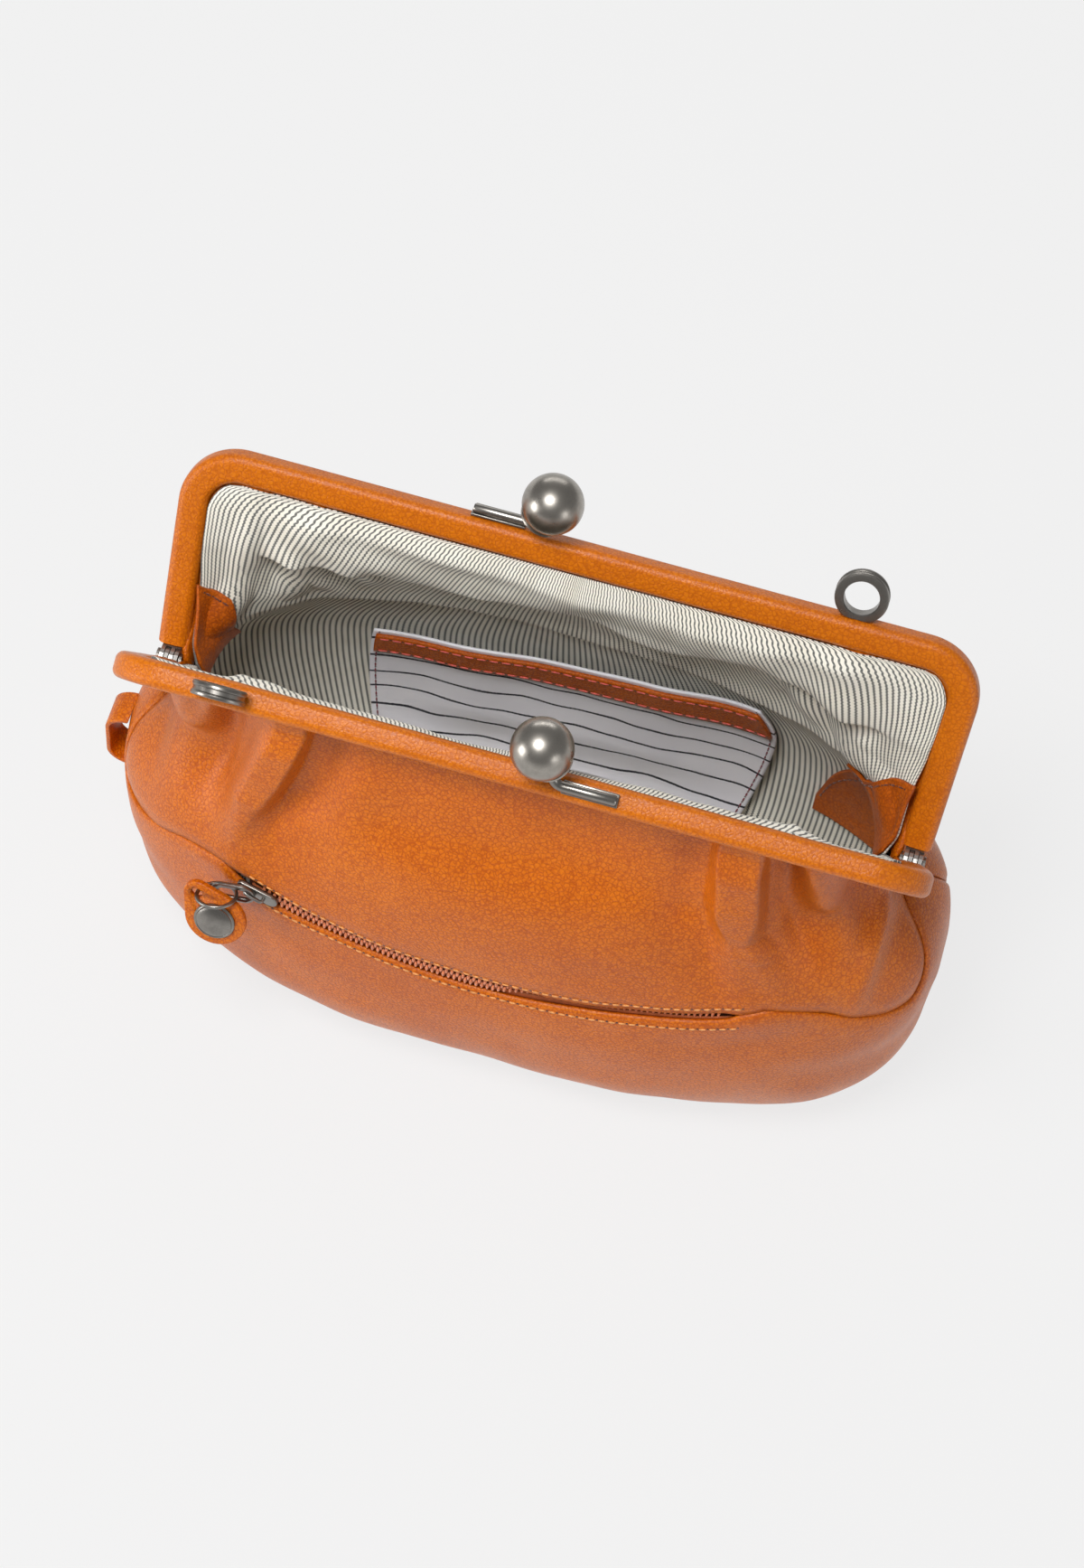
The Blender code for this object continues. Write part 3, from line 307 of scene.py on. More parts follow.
# %% Metals
def metal_material(name, colour, roughness, patina):
    """Dark nickel with a brushed, slightly cloudy patina."""
    material, tree, shader = new_material(name, roughness, 1.0)
    place = object_place(tree)
    clouds = noise_at(tree, place, 190.0, 8.0, Roughness=0.7, Distortion=0.4)
    specks = noise_at(tree, place, 1500.0, 3.0)
    tone = weighted(tree, (clouds, 0.85), (specks, 0.15))
    stain = colour_ramp(tree, tone, [(0.36, tinted(colour, 1 - patina)), (0.64, tinted(colour, 1 + patina))])
    tree.links.new(stain, shader.inputs["Base Color"])
    gloss = value_ramp(tree, tone, 0.35, 0.65, roughness + 0.10, roughness - 0.05)
    tree.links.new(gloss, shader.inputs["Roughness"])
    bumped(tree, shader, specks, 0.00001, 0.4)
    return material


dark_nickel = metal_material("dark nickel", (0.335, 0.312, 0.280), 0.30, 0.14)
gunmetal = metal_material("gunmetal", (0.25, 0.235, 0.215), 0.30, 0.15)
dull_steel = metal_material("dull steel", (0.42, 0.41, 0.39), 0.42, 0.2)
print("three metals")


# %% [markdown]
# ## Cloths and threads
# Stripes run with the cloth and not with the room, so a striped cloth follows its piece's own UV map,
# which counts in metres. A pitch is then simply a length, and folds bend the stripes as they should.


# %% Ticking and pocket cloth
def cloth_coordinates(tree):
    """The chart of a cloth, and its metres across and along."""
    chart = tree.nodes.new("ShaderNodeUVMap")
    chart.uv_map = "cloth"
    split = link_nodes(tree, "ShaderNodeSeparateXYZ", {0: chart.outputs[0]})
    return chart.outputs[0], split.outputs[0], split.outputs[1]


def ticking_material(name, pitch=0.00178):
    """Herringbone ticking: cream cloth with close dark stripes whose edges step like a chain."""
    material, tree, shader = new_material(name, 0.92)
    chart, across, along = cloth_coordinates(tree)
    shifted = weighted(tree, (across, 1 / pitch), (ripple(tree, along, 0.0012), 0.42))
    wave = maths(tree, 'PINGPONG', shifted, 0.5)
    stripe = value_ramp(tree, wave, 0.15, 0.22, 1.0, 0.0)
    dots = ripple(tree, along, 0.0006)
    core = value_ramp(tree, wave, 0.0, 0.07, 0.30, 0.0)
    broken = maths(tree, 'MULTIPLY', stripe, value_ramp(tree, dots, 0.05, 0.25, 0.80, 1.0))
    broken = maths(tree, 'SUBTRACT', broken, maths(tree, 'MULTIPLY', core, dots))
    worn = noise_at(tree, chart, 90.0, 5.0)
    cream = colour_ramp(tree, worn, [(0.3, (0.84, 0.80, 0.69)), (0.7, (0.91, 0.88, 0.79))])
    slate = colour_ramp(tree, worn, [(0.3, (0.060, 0.065, 0.063)), (0.7, (0.11, 0.115, 0.105))])
    mix = link_nodes(tree, "ShaderNodeMix", {0: broken, 6: cream, 7: slate}, data_type='RGBA')
    tree.links.new(mix.outputs[2], shader.inputs["Base Color"])
    bumped(tree, shader, maths(tree, 'ADD', ripple(tree, across, 0.0005), dots), 0.00006, 0.7)
    shader.inputs["Sheen Weight"].default_value = 0.15
    return material


def pocket_material(name, line_pitch=0.0118):
    """White cotton with thin dark lines, spaced by hand and a little wavy."""
    material, tree, shader = new_material(name, 0.9)
    chart, across, along = cloth_coordinates(tree)
    drift = noise_at(tree, chart, 34.0, 1.0)
    bent = maths(tree, 'ADD', along, maths(tree, 'MULTIPLY', maths(tree, 'SUBTRACT', drift, 0.5), 0.0085))
    fray = maths(tree, 'SUBTRACT', noise_at(tree, chart, 900.0, 2.0), 0.5)
    edge = maths(tree, 'ADD', ripple(tree, bent, line_pitch), maths(tree, 'MULTIPLY', fray, 0.035))
    stripe = value_ramp(tree, edge, 0.042, 0.062, 1.0, 0.0)
    cotton = colour_ramp(tree, drift, [(0.3, (0.89, 0.88, 0.94)), (0.7, (0.95, 0.94, 0.99))])
    mix = link_nodes(tree, "ShaderNodeMix", {0: stripe, 6: cotton, 7: (0.035, 0.035, 0.045, 1.0)},
                     data_type='RGBA')
    tree.links.new(mix.outputs[2], shader.inputs["Base Color"])
    weave = maths(tree, 'ADD', ripple(tree, across, 0.0004), ripple(tree, along, 0.0004))
    bumped(tree, shader, weave, 0.00004, 0.6)
    return material


def plain_cloth(name, colour, rib=0.0007):
    """Plain woven cloth or tape, with ribs on Object coordinates."""
    material, tree, shader = new_material(name, 0.85)
    place = object_place(tree)
    split = link_nodes(tree, "ShaderNodeSeparateXYZ", {0: place})
    mottled = colour_ramp(tree, noise_at(tree, place, 300.0, 4.0),
                          [(0.3, tinted(colour, 0.75)), (0.7, tinted(colour, 1.2))])
    tree.links.new(mottled, shader.inputs["Base Color"])
    weave = maths(tree, 'ADD', ripple(tree, split.outputs[0], rib), ripple(tree, split.outputs[2], rib))
    bumped(tree, shader, weave, 0.00008, 0.8)
    return material


def thread_material(name, colour):
    """Twisted thread: a little darker where the strands turn under."""
    material, tree, shader = new_material(name, 0.6)
    twist = noise_at(tree, object_place(tree), 1400.0, 2.0)
    strands = colour_ramp(tree, twist, [(0.35, tinted(colour, 0.65)), (0.6, colour)])
    tree.links.new(strands, shader.inputs["Base Color"])
    bumped(tree, shader, twist, 0.00005)
    shader.inputs["Sheen Weight"].default_value = 0.3
    return material


ticking = ticking_material("ticking")
pocket_cotton = pocket_material("pocket cotton")
tape_cloth = plain_cloth("zip tape cloth", (0.40, 0.105, 0.030))
pouch_cloth = plain_cloth("pouch cloth", (0.15, 0.05, 0.018), rib=0.0012)
coil_brown = thread_material("coil brown", (0.78, 0.22, 0.07))
tan_thread = thread_material("tan thread", (0.84, 0.36, 0.09))
dark_thread = thread_material("dark thread", (0.16, 0.035, 0.008))
coral_thread = thread_material("coral thread", (0.80, 0.13, 0.10))
wine_thread = thread_material("wine thread", (0.22, 0.010, 0.03))
# Painted shade: a dark colour that stands for the shadow in each stitch hole.
painted_hole_shade = thread_material("painted stitch hole shade", (0.07, 0.016, 0.004))
print("cloths and threads")

# %% [markdown]
# ## The shape of the soft body
# The CAD body is one surface with two coordinates: a place from the left end to the right end, and a
# level that climbs from the middle of the base to the shoulder and on to the frame. Every soft piece
# is a stretch of that surface at its own depth, so the layers lie inside one another. The same
# formulas are written here again, and the folds are then added along the surface's normals.

# %% Sizes of the body and the frame
touch_gap = 0.0003
open_angle = math.radians(31.3)
frame_half_width = 0.1335
frame_height = 0.0775
cover_height = 0.0102
cover_thickness = 0.0088
cover_wall = 0.0014
corner_radius = 0.020
leg_lean = math.radians(1.8)
closing_gap = 0.0004
cover_end_height = 0.0048
body_half_width = 0.1425
body_half_depth = 0.0655
body_roundness = 2.5
body_lean = 0.008
shoulder_drop = 0.008
shoulder_half_depth = 0.0600
seam_gap = 0.0004
panel_sag_share = 1.1
depth_shares = (0.0, 0.52, 0.71, 0.87, 0.965, 1.0, 1.0, 0.965)
height_shares = (0.0, 0.0, 0.022, 0.100, 0.230, 0.400, 0.610, 0.810)
width_shares = (0.70, 0.77, 0.850, 0.920, 0.965, 0.990, 1.000, 0.975)
lining_inset = 0.0056
lining_wall = 0.0008
zip_half_length = 0.0785
zip_drop = 0.042
zip_track_radius = body_half_width ** 2 / 0.0778
zip_track_tilt = math.radians(29.5)
seam_corner_drop = 0.047
seam_tip_drop = 0.014
seam_rise_share = 0.80
slot_columns = (4 / 12, 5 / 12)
slot_half = 0.0031

cover_middle = closing_gap / 2 + cover_thickness / 2
bar_middle = frame_height - cover_height / 2
bend_radius = corner_radius - cover_height / 2
bend_centre_x = frame_half_width - corner_radius
bend_centre_z = bar_middle - bend_radius
bar_top = frame_height + touch_gap
shoulder_height = hinge_height - shoulder_drop
window_radius = bend_radius - cover_height / 2 - touch_gap
window_top = bend_centre_z + window_radius


def leg_middle_x(height):
    """Where the middle of a frame leg is at a height above the hinges."""
    turn_x = bend_centre_x + bend_radius * math.cos(leg_lean)
    turn_z = bend_centre_z - bend_radius * math.sin(leg_lean)
    return turn_x - (turn_z - height) * math.tan(leg_lean)


def window_half_width(height):
    """Half the width of the opening inside the frame."""
    turn_z = bend_centre_z - window_radius * math.sin(leg_lean)
    turn_x = bend_centre_x + window_radius * math.cos(leg_lean)
    if height <= turn_z:
        return turn_x - (turn_z - height) * math.tan(leg_lean)
    rise = min(height - bend_centre_z, window_radius)
    return bend_centre_x + math.sqrt(max(window_radius ** 2 - rise ** 2, 0.0))


def smooth(value):
    """0 below 0 and 1 above 1, with a soft start and end between."""
    value = min(max(value, 0.0), 1.0)
    return value * value * (3 - 2 * value)


def between(value, places, values):
    """Value read off a line of straight stretches. The places rise."""
    if value <= places[0]:
        return values[0]
    for index in range(1, len(places)):
        if value <= places[index]:
            share = (value - places[index - 1]) / (places[index] - places[index - 1])
            return values[index - 1] + share * (values[index] - values[index - 1])
    return values[-1]


def hermite(start, leave, end, arrive, run):
    """Cubic from start to end with the slopes leave and arrive, for numbers and for vectors."""
    square, cube = run ** 2, run ** 3
    return (start * (2 * cube - 3 * square + 1) + leave * (cube - 2 * square + run)
            + end * (3 * square - 2 * cube) + arrive * (cube - square))


def follow(values, places, place):
    """Value read off a smooth curve through the pairs. The places rise."""
    last = len(values) - 1
    index = 0
    while index < last - 1 and place > places[index + 1]:
        index += 1
    span = places[index + 1] - places[index]

    def slope(at):
        low, high = max(at - 1, 0), min(at + 1, last)
        return (values[high] - values[low]) / (places[high] - places[low])

    return hermite(values[index], slope(index) * span, values[index + 1], slope(index + 1) * span,
                   (place - places[index]) / span)


station_depths = [share * body_half_depth for share in depth_shares] + [shoulder_half_depth]
station_heights = [share * shoulder_height for share in height_shares] + [shoulder_height]
station_widths = [share * body_half_width for share in width_shares] + [window_half_width(-shoulder_drop)]
station_places = [0.0]
for before in range(len(station_depths) - 1):
    run = station_depths[before + 1] - station_depths[before]
    rise = station_heights[before + 1] - station_heights[before]
    station_places.append(station_places[-1] + math.hypot(run, rise))
wall_length = station_places[-1]
station_places = [place / wall_length for place in station_places]
print("wall length", round(wall_length * 1000, 1), "mm")


# %% The body's surface
def wall_height(level):
    """Height above the floor at a level of the wall."""
    if level <= station_places[1]:
        return 0.0
    return max(follow(station_heights, station_places, level), 0.0)


@lru_cache(maxsize=None)
def level_at(height):
    """The level of a height, found by halving."""
    low, high = station_places[1], 1.0
    for _ in range(30):
        middle = (low + high) / 2
        if wall_height(middle) < height:
            low = middle
        else:
            high = middle
    return (low + high) / 2


def round_run(place):
    """How far out a place is, as a share of the half width, on the rounded outline seen from above."""
    reach = abs(math.sin(place * math.pi / 2)) ** (2 / body_roundness)
    return math.copysign(reach, place)


def round_rise(place):
    """How far forwards a place is, as a share of the half depth."""
    return max(math.cos(place * math.pi / 2), 0.0) ** (2 / body_roundness)


def place_of_share(share):
    """The place whose run is this share of the half width."""
    share = min(max(share, -1.0), 1.0)
    return math.copysign(math.asin(abs(share) ** (body_roundness / 2)) * 2 / math.pi, share)


def lean_at(height):
    """How far right the body is shifted at a height: most at its base, none at the shoulder."""
    return body_lean * max(1 - height / shoulder_height, 0.0)


# %% The lines of the zip and of the seam
zip_centre = lean_at(hinge_height - zip_drop)


def zip_height(x):
    """The zip hangs in an arc, lowest in the middle."""
    turn = math.asin(min(max((x - zip_centre) / zip_track_radius, -1.0), 1.0))
    return hinge_height - zip_drop + zip_track_radius * (1 - math.cos(turn)) * math.cos(zip_track_tilt)


def front_fullness(x, height):
    """The wall swells a little where the zip climbs to its ends."""
    away = abs(x - zip_centre) / body_half_width
    rise = smooth((away - 0.323) / 0.351)
    along = rise * (1 - smooth((away - 0.618) / 0.281))
    return 0.0026 * along * (1 - smooth(abs(height - zip_height(x)) / 0.020))


def panel_edge(climb):
    """The panel's straight edge at a share of the climb to the bar.

    Gives how far up the frame it is, how far it has come under the cover, and its depth and height.
    """
    along = -shoulder_drop + climb * (window_top + shoulder_drop)
    held = smooth(along / (2 * shoulder_drop))
    under = held * cover_middle
    depth = max(along, 0.0) * math.sin(open_angle) + under * math.cos(open_angle)
    height = hinge_height + min(along, 0.0) + max(along, 0.0) * math.cos(open_angle)
    return along, held, depth, height - under * math.sin(open_angle)


def body_point(place, level, side, inset):
    """A point of the body: below the shoulder up to level 1, and then up the panel to 2 at the bar."""
    if level <= 1:
        half_width = follow(station_widths, station_places, level) - inset
        half_depth = follow(station_depths, station_places, level)
        half_depth = half_depth * (body_half_depth - inset) / body_half_depth
        height = inset + wall_height(level) * (shoulder_height - inset) / shoulder_height
        x = half_width * round_run(place) + lean_at(height)
        y = side * half_depth * round_rise(place)
        if side < 0:
            y -= front_fullness(x, height)
        return Vector((x, y, height))
    climb = level - 1
    along, held, edge_y, height = panel_edge(climb)
    shoulder_depth = shoulder_half_depth * (body_half_depth - inset) / body_half_depth
    sag = shoulder_depth * (1 - climb) ** panel_sag_share
    across = (1 - climb) * round_run(place) + climb * place
    x = (window_half_width(along) - inset) * across
    bulge = round_rise(place)
    edge_inset = inset * held * (1 - bulge * (1 - climb))
    return Vector((x, side * (edge_y + touch_gap / 2 + sag * bulge - edge_inset), height))


def wall_point(x, height, side, inset):
    """A point of the wall below the shoulder, found by its x and its height."""
    level = level_at(round(height, 5))
    half_width = follow(station_widths, station_places, level) - inset
    return body_point(place_of_share((x - lean_at(height)) / half_width), level, side, inset)


def seam_height(place):
    """The seam follows the zip, dips beyond its ends and rises to a tip at the hinges."""
    x = body_half_width * round_run(place) + zip_centre
    slot_end = body_half_width * round_run(slot_columns[1])
    beyond = abs(x - zip_centre) - slot_end
    if beyond <= 0:
        return zip_height(x)
    corner = hinge_height - seam_corner_drop
    turn_height = zip_height(zip_centre + slot_end)
    low = turn_height + (corner - turn_height) * smooth(beyond / (body_half_width - slot_end))
    tip = hinge_height - seam_tip_drop
    return low + (tip - low) * smooth((abs(place) - seam_rise_share) / (1 - seam_rise_share))


def slot_opening(place):
    """Half the height of the slot that the zip lies in."""
    reach = slot_columns[1] - abs(place)
    return slot_half * min(max(reach / (slot_columns[1] - slot_columns[0]), 0.0), 1.0)


def lip_opening(place):
    """Half the gap between the leather lips, which nearly meet towards the right end."""
    x = body_half_width * round_run(place)
    shut = 0.0014 * smooth((x - 0.005) / 0.03)
    return min(slot_opening(place), (slot_half - shut) * smooth((0.0880 - x) / 0.008))


print("zip dips to", round(zip_height(zip_centre) * 1000, 1), "mm")


# %% [markdown]
# ## How a piece is made
# A hard piece starts as a bmesh and becomes an object at the origin. A soft piece starts as a flat
# grid. Its points are laid on the body, moved along their normals for the folds, and pushed clear of
# the cloth beneath. A Solidify modifier then gives the leather or the cloth its thickness.


# %% Helpers that make pieces
def made_verts(geometry):
    return [item for item in geometry if isinstance(item, bmesh.types.BMVert)]


def made_faces(geometry):
    return [item for item in geometry if isinstance(item, bmesh.types.BMFace)]


def new_piece(name, shape, material, sharp=math.radians(50.0), outward=True, place=None):
    """Object from a bmesh, at the origin, with soft shading and one material.

    place is a matrix that moves the mesh, never the object, to where the piece belongs.
    """
    if place is not None:
        bmesh.ops.transform(shape, matrix=place, verts=shape.verts[:])
    if outward:
        bmesh.ops.recalc_face_normals(shape, faces=shape.faces[:])
    mesh = bpy.data.meshes.new(name)
    shape.to_mesh(mesh)
    shape.free()
    mesh.shade_smooth()
    mesh.set_sharp_from_angle(angle=sharp)
    mesh.materials.append(material)
    piece = bpy.data.objects.new(name, mesh)
    bpy.context.collection.objects.link(piece)
    return piece


def finished(piece, nodes):
    if nodes:
        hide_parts(*nodes)
    print(piece.name, len(piece.data.polygons), "faces")


def settle(piece, body, slot, *nodes):
    """The piece rides on a body and stands for the CAD nodes named. slot is not used."""
    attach(piece, body)
    finished(piece, nodes)


def bent_between(piece, half, slot, *nodes):
    """Soft piece, baked where it lies, that stands for the CAD nodes named. half is not used."""
    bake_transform(piece)
    finished(piece, nodes)


def freeze(piece):
    """Put the result of the piece's modifiers into its mesh."""
    evaluated = piece.evaluated_get(bpy.context.evaluated_depsgraph_get())
    mesh = bpy.data.meshes.new_from_object(evaluated)
    old = piece.data
    piece.modifiers.clear()
    piece.data = mesh
    bpy.data.meshes.remove(old)
    mesh.name = piece.name


surfaces = {}
near_cloth = 0.012


def keep_clear(shape, under, gap, way):
    """Push a cloth's points off another cloth, to at least a gap on one side of it."""
    for vert in shape.verts:
        place, normal, _, distance = under.find_nearest(vert.co)
        if distance < near_cloth:
            short = gap - way * (vert.co - place).dot(normal)
            if short > 0:
                vert.co = vert.co + normal * way * short


def cloth_piece(name, columns, rows, surface, dressing, material, wall, outward, chart=None, weld=False,
                clear=None):
    """Soft piece: a grid laid on a surface, folded along its normals, then given its thickness.

    surface and dressing take the grid's two coordinates from -1 to 1. outward tells which way its
    good side faces at a point. clear names a cloth to stay off, with the gap and the side.
    """
    shape = bmesh.new()
    across = shape.verts.layers.float.new("across")
    up = shape.verts.layers.float.new("up")
    bmesh.ops.create_grid(shape, x_segments=columns, y_segments=rows, size=1.0)
    if chart:
        layer = shape.loops.layers.uv.new("cloth")
        for face in shape.faces:
            for loop in face.loops:
                loop[layer].uv = chart(loop.vert.co.x, loop.vert.co.y)
    for vert in shape.verts:
        vert[across], vert[up] = vert.co.x, vert.co.y
        vert.co = surface(vert[across], vert[up])
    if weld:
        bmesh.ops.remove_doubles(shape, verts=shape.verts[:], dist=0.00002)
    shape.normal_update()
    agree = sum(1 if vert.normal.dot(outward(vert.co)) > 0 else -1 for vert in shape.verts)
    if agree < 0:
        bmesh.ops.reverse_faces(shape, faces=shape.faces[:])
        shape.normal_update()
    normals = [vert.normal.copy() for vert in shape.verts]
    for vert, normal in zip(shape.verts, normals):
        vert.co = vert.co + normal * dressing(vert[across], vert[up], vert.co)
    if clear:
        keep_clear(shape, surfaces[clear[0]], clear[1], clear[2])
    shape.normal_update()
    surfaces[name] = BVHTree.FromBMesh(shape)
    piece = new_piece(name, shape, material, sharp=math.radians(70.0), outward=False)
    thick = piece.modifiers.new("thickness", 'SOLIDIFY')
    thick.thickness = wall
    thick.offset = -1.0
    freeze(piece)
    return piece


def away_from_middle(point):
    """Rough direction from the middle of the bag, to tell a cloth's outside from its inside."""
    return Vector((point.x * 0.3, point.y, (point.z - 0.06) * 0.8))


def towards_middle(point):
    return -away_from_middle(point)


print("helpers ready")

# %% [markdown]
# ## Front and back panels
# The leather above the curved seam is gathered to the frame. Two tucks come out from under each bar,
# a soft bulge and a hollow follow towards each hinge, and all of it fades into the belly of the bag.
# A cloth simulation could make such gathers, but they would not land where a maker sews them. So each
# tuck is written as a ridge with a crisp side and a soft side, whose edges spread on the way down. The
# ridges are heights on the surface in millimetres, which is easy to compare with a picture.

# %% Folds of the panels
millimetre = 0.001


def ridge(x, left, right, left_soft, right_soft):
    """1 between left and right, with a slope of its own width inside each edge."""
    return smooth((x - left) / left_soft) * (1 - smooth((x - right + right_soft) / right_soft))


def bell(x, middle, width):
    return math.exp(-((x - middle) / width) ** 2)


def panel_folds(x, up):
    """Height of the folds in millimetres. x is in millimetres, up runs from 0 at the seam to 1."""
    height = 0.0
    held = 1 - 0.55 * smooth((up - 0.74) / 0.26)
    # Left tuck, crisp on its right side
    rise = between(up, (0.0, 0.04, 0.09, 0.16, 0.30, 0.55, 0.80), (0.0, 1.0, 3.2, 5.4, 7.2, 8.0, 8.0))
    left = between(up, (0.0, 0.1, 0.2, 0.42, 0.6, 0.9), (-102, -99, -96, -92, -90, -86))
    right = between(up, (0.0, 0.05, 0.2, 0.4, 0.56, 0.7, 0.9), (-68, -72, -74, -72, -69.5, -67.5, -65.5))
    soft = between(up, (0.02, 0.10, 0.2, 0.3, 0.42, 0.6, 0.85), (17, 14, 9, 6.0, 4.2, 3.2, 2.6))
    height += rise * ridge(x, left, right, between(up, (0.0, 0.3), (15.0, 9.0)), soft)
    height -= 1.8 * smooth((up - 0.15) / 0.25) * bell(x, right + 5.0, 7.0)
    height += 1.4 * bell(x, right + 20.0, 9.0) * bell(up, 0.55, 0.3)
    # Right tuck, crisp on both sides
    rise = between(up, (0.0, 0.04, 0.09, 0.16, 0.30, 0.55, 0.80), (0.0, 1.0, 3.2, 5.6, 7.2, 8.0, 8.0))
    left = between(up, (0.0, 0.08, 0.16, 0.3, 0.5, 0.82), (76, 73, 69.5, 66.5, 64.5, 63.5))
    right = between(up, (0.0, 0.06, 0.14, 0.25, 0.5, 0.8), (112, 106, 97, 89, 86, 83))
    left_soft = between(up, (0.02, 0.10, 0.2, 0.5, 0.85), (14, 10, 7.5, 5.0, 3.4))
    soft = between(up, (0.02, 0.10, 0.2, 0.5, 0.85), (18, 14, 9.5, 5.0, 3.0))
    height += rise * ridge(x, left, right, left_soft, soft)
    height -= 1.8 * smooth((up - 0.15) / 0.25) * bell(x, left - 5.0, 7.0)
    # Left corner: a hollow beside the tuck, a bulge, and the deep fold under the bar's end
    fade = smooth((up - 0.06) / 0.25)
    height -= 5.2 * fade * bell(x, between(up, (0.2, 0.9), (-102, -93)), between(up, (0.2, 0.9), (7.0, 4.5)))
    height += 4.0 * bell(x, between(up, (0.2, 0.8), (-114, -106)), 8.0) * bell(up, 0.42, 0.30)
    height -= 3.6 * smooth((up - 0.08) / 0.2) * bell(x, -124, 4.4)
    height -= 2.2 * bell(x, -108, 4.0) * bell(up, 0.85, 0.22)
    # Right corner: a hollow, a bulge that runs to the end, and a dent under the bar
    height -= 5.0 * fade * bell(x, between(up, (0.15, 0.5, 0.9), (103, 93, 88)),
                                between(up, (0.2, 0.9), (8.0, 4.5)))
    height += 4.2 * bell(x, between(up, (0.1, 0.4, 0.8), (116, 103, 97)), 6.5) * smooth((up - 0.02) / 0.25)
    height -= 4.0 * bell(x, between(up, (0.2, 0.9), (115, 108)), 4.8) * smooth((up - 0.16) / 0.18)
    height += 3.2 * bell(x, 121, 4.0) * bell(up, 0.22, 0.16)
    # The middle hangs a little loose between the tucks
    height += 2.0 * bell(x, -8, 44.0) * bell(up, 0.22, 0.20)
    height -= 1.2 * bell(x, 22, 26.0) * bell(up, 0.70, 0.20)
    return height * held


def creases(point, scale, depth):
    """Slow unevenness of soft leather, in metres."""
    low = noise.noise(point * scale)
    high = noise.noise(point * scale * 2.7 + Vector((7.0, 3.0, 5.0)))
    return depth * (low + 0.4 * high)


def panel_start(place, side):
    opening = lip_opening(place) if side < 0 else 0.0
    return level_at(round(seam_height(place) + opening + seam_gap / 2, 6))


@lru_cache(maxsize=None)
def column_place(across):
    """Columns stand closest where the tucks and the ends are."""
    turn = between(abs(across), (0.0, 0.13, 0.75, 1.0), (0.0, 0.214, 0.713, 1.0))
    return math.copysign(place_of_share(math.sin(turn * math.pi / 2)), across)


def eased_point(place, level, side):
    """The body's surface with one smooth curve across the shoulder, as soft leather hangs there."""
    low, high, step = 0.93, 1.52, 0.01
    share = smooth((1 - abs(place)) / 0.10)
    point = body_point(place, level, side, 0.0)
    if share < 0.001 or not low < level < high:
        return point
    start, end = body_point(place, low, side, 0.0), body_point(place, high, side, 0.0)
    span = (high - low) / step
    leave = (start - body_point(place, low - step, side, 0.0)) * span
    arrive = (body_point(place, high + step, side, 0.0) - end) * span
    return point.lerp(hermite(start, leave, end, arrive, (level - low) / (high - low)), share)


def tucked(point, place, level, side, depth):
    """The cloth's edge goes a little way into the channel of the frame."""
    if level <= 1:
        return point
    reach = depth * smooth((level - 1.04) / 0.12)
    point.x += math.copysign(reach * smooth((abs(place) - 0.86) / 0.14), place)
    lift = depth * smooth((level - 1.90) / 0.10)
    return point + Vector((0.0, side * math.sin(open_angle), math.cos(open_angle))) * lift


def panel(side):
    """Surface and dressing of the front panel, side -1, or of the back panel, side 1."""
    def surface(across, up):
        place = column_place(round(across, 6))
        start = panel_start(place, side)
        level = start + (2 - start) * (up + 1) / 2
        held = smooth((up + 1) / 0.10)
        point = body_point(place, level, side, 0.0).lerp(eased_point(place, level, side), held)
        return tucked(point, place, level, side, 0.0018)

    def dressing(across, up, point):
        share = (up + 1) / 2
        folds = panel_folds(-side * point.x * 1000, share) * millimetre
        folds *= 1.2 if side < 0 else 0.55
        edge = math.exp(-(share / 0.020) ** 2) * seam_sink
        held = smooth((1 - share) / 0.03)
        # Nothing stands out where the leather is held between the legs of the frame
        side_free = smooth((1 - abs(across)) / 0.06)
        return (folds * side_free + creases(point, 26.0, 0.0008) * held * side_free) - edge
    return surface, dressing


# %% Front and back panel
leather_wall = 0.0016
seam_sink = 0.0009
for half, panel_side, columns, rows in (("front", -1, 300, 120), ("back", 1, 190, 90)):
    panel_surface, panel_dressing = panel(panel_side)
    leather = cloth_piece(f"{half}_leather", columns, rows, panel_surface, panel_dressing, tan_leather,
                          leather_wall, away_from_middle)
    bent_between(leather, f"{half}_frame", "leather", f"{half}_panel")

# %% [markdown]
# ## Base gusset
# One piece of leather runs from hinge to hinge under the bag and meets the panels at a sunken seam.
# A lofted shell with a lip would do, but the same grid as above keeps every layer on one surface. It
# runs from the front seam, under the base, to the back seam, with a low fold where the leather turns
# at the ends.


# %% Base gusset
def gusset_surface(across, up):
    place = column_place(round(across, 6))
    side = -1 if up < 0 else 1
    opening = lip_opening(place) if side < 0 else 0.0
    top = level_at(round(seam_height(place) - opening - seam_gap / 2, 6))
    return body_point(place, abs(up) * top, side, 0.0)


def gusset_dressing(across, up, point):
    edge = math.exp(-((1 - abs(up)) / 0.012) ** 2) * seam_sink
    free = smooth(point.z / 0.020)
    folds = creases(point, 22.0, 0.0011) * free * smooth((1 - abs(across)) / 0.05)
    end = 0.0010 * bell(point.z, 0.050, 0.010) * smooth((abs(point.x) - 0.095) / 0.03)
    return folds * smooth((1 - abs(up)) / 0.05) - edge - end * smooth((1 - abs(across)) / 0.05)


gusset = cloth_piece("gusset_leather", 220, 150, gusset_surface, gusset_dressing, tan_leather, leather_wall,
                     away_from_middle, weld=True)
settle(gusset, "bag", "leather", "base_gusset")

# %% [markdown]
# ## Lining
# The lining is cut a little long, so it bunches in a soft band below the frame and tucks back to the
# wall. Its stripes run from the frame down, so the cloth's chart counts metres across and along.


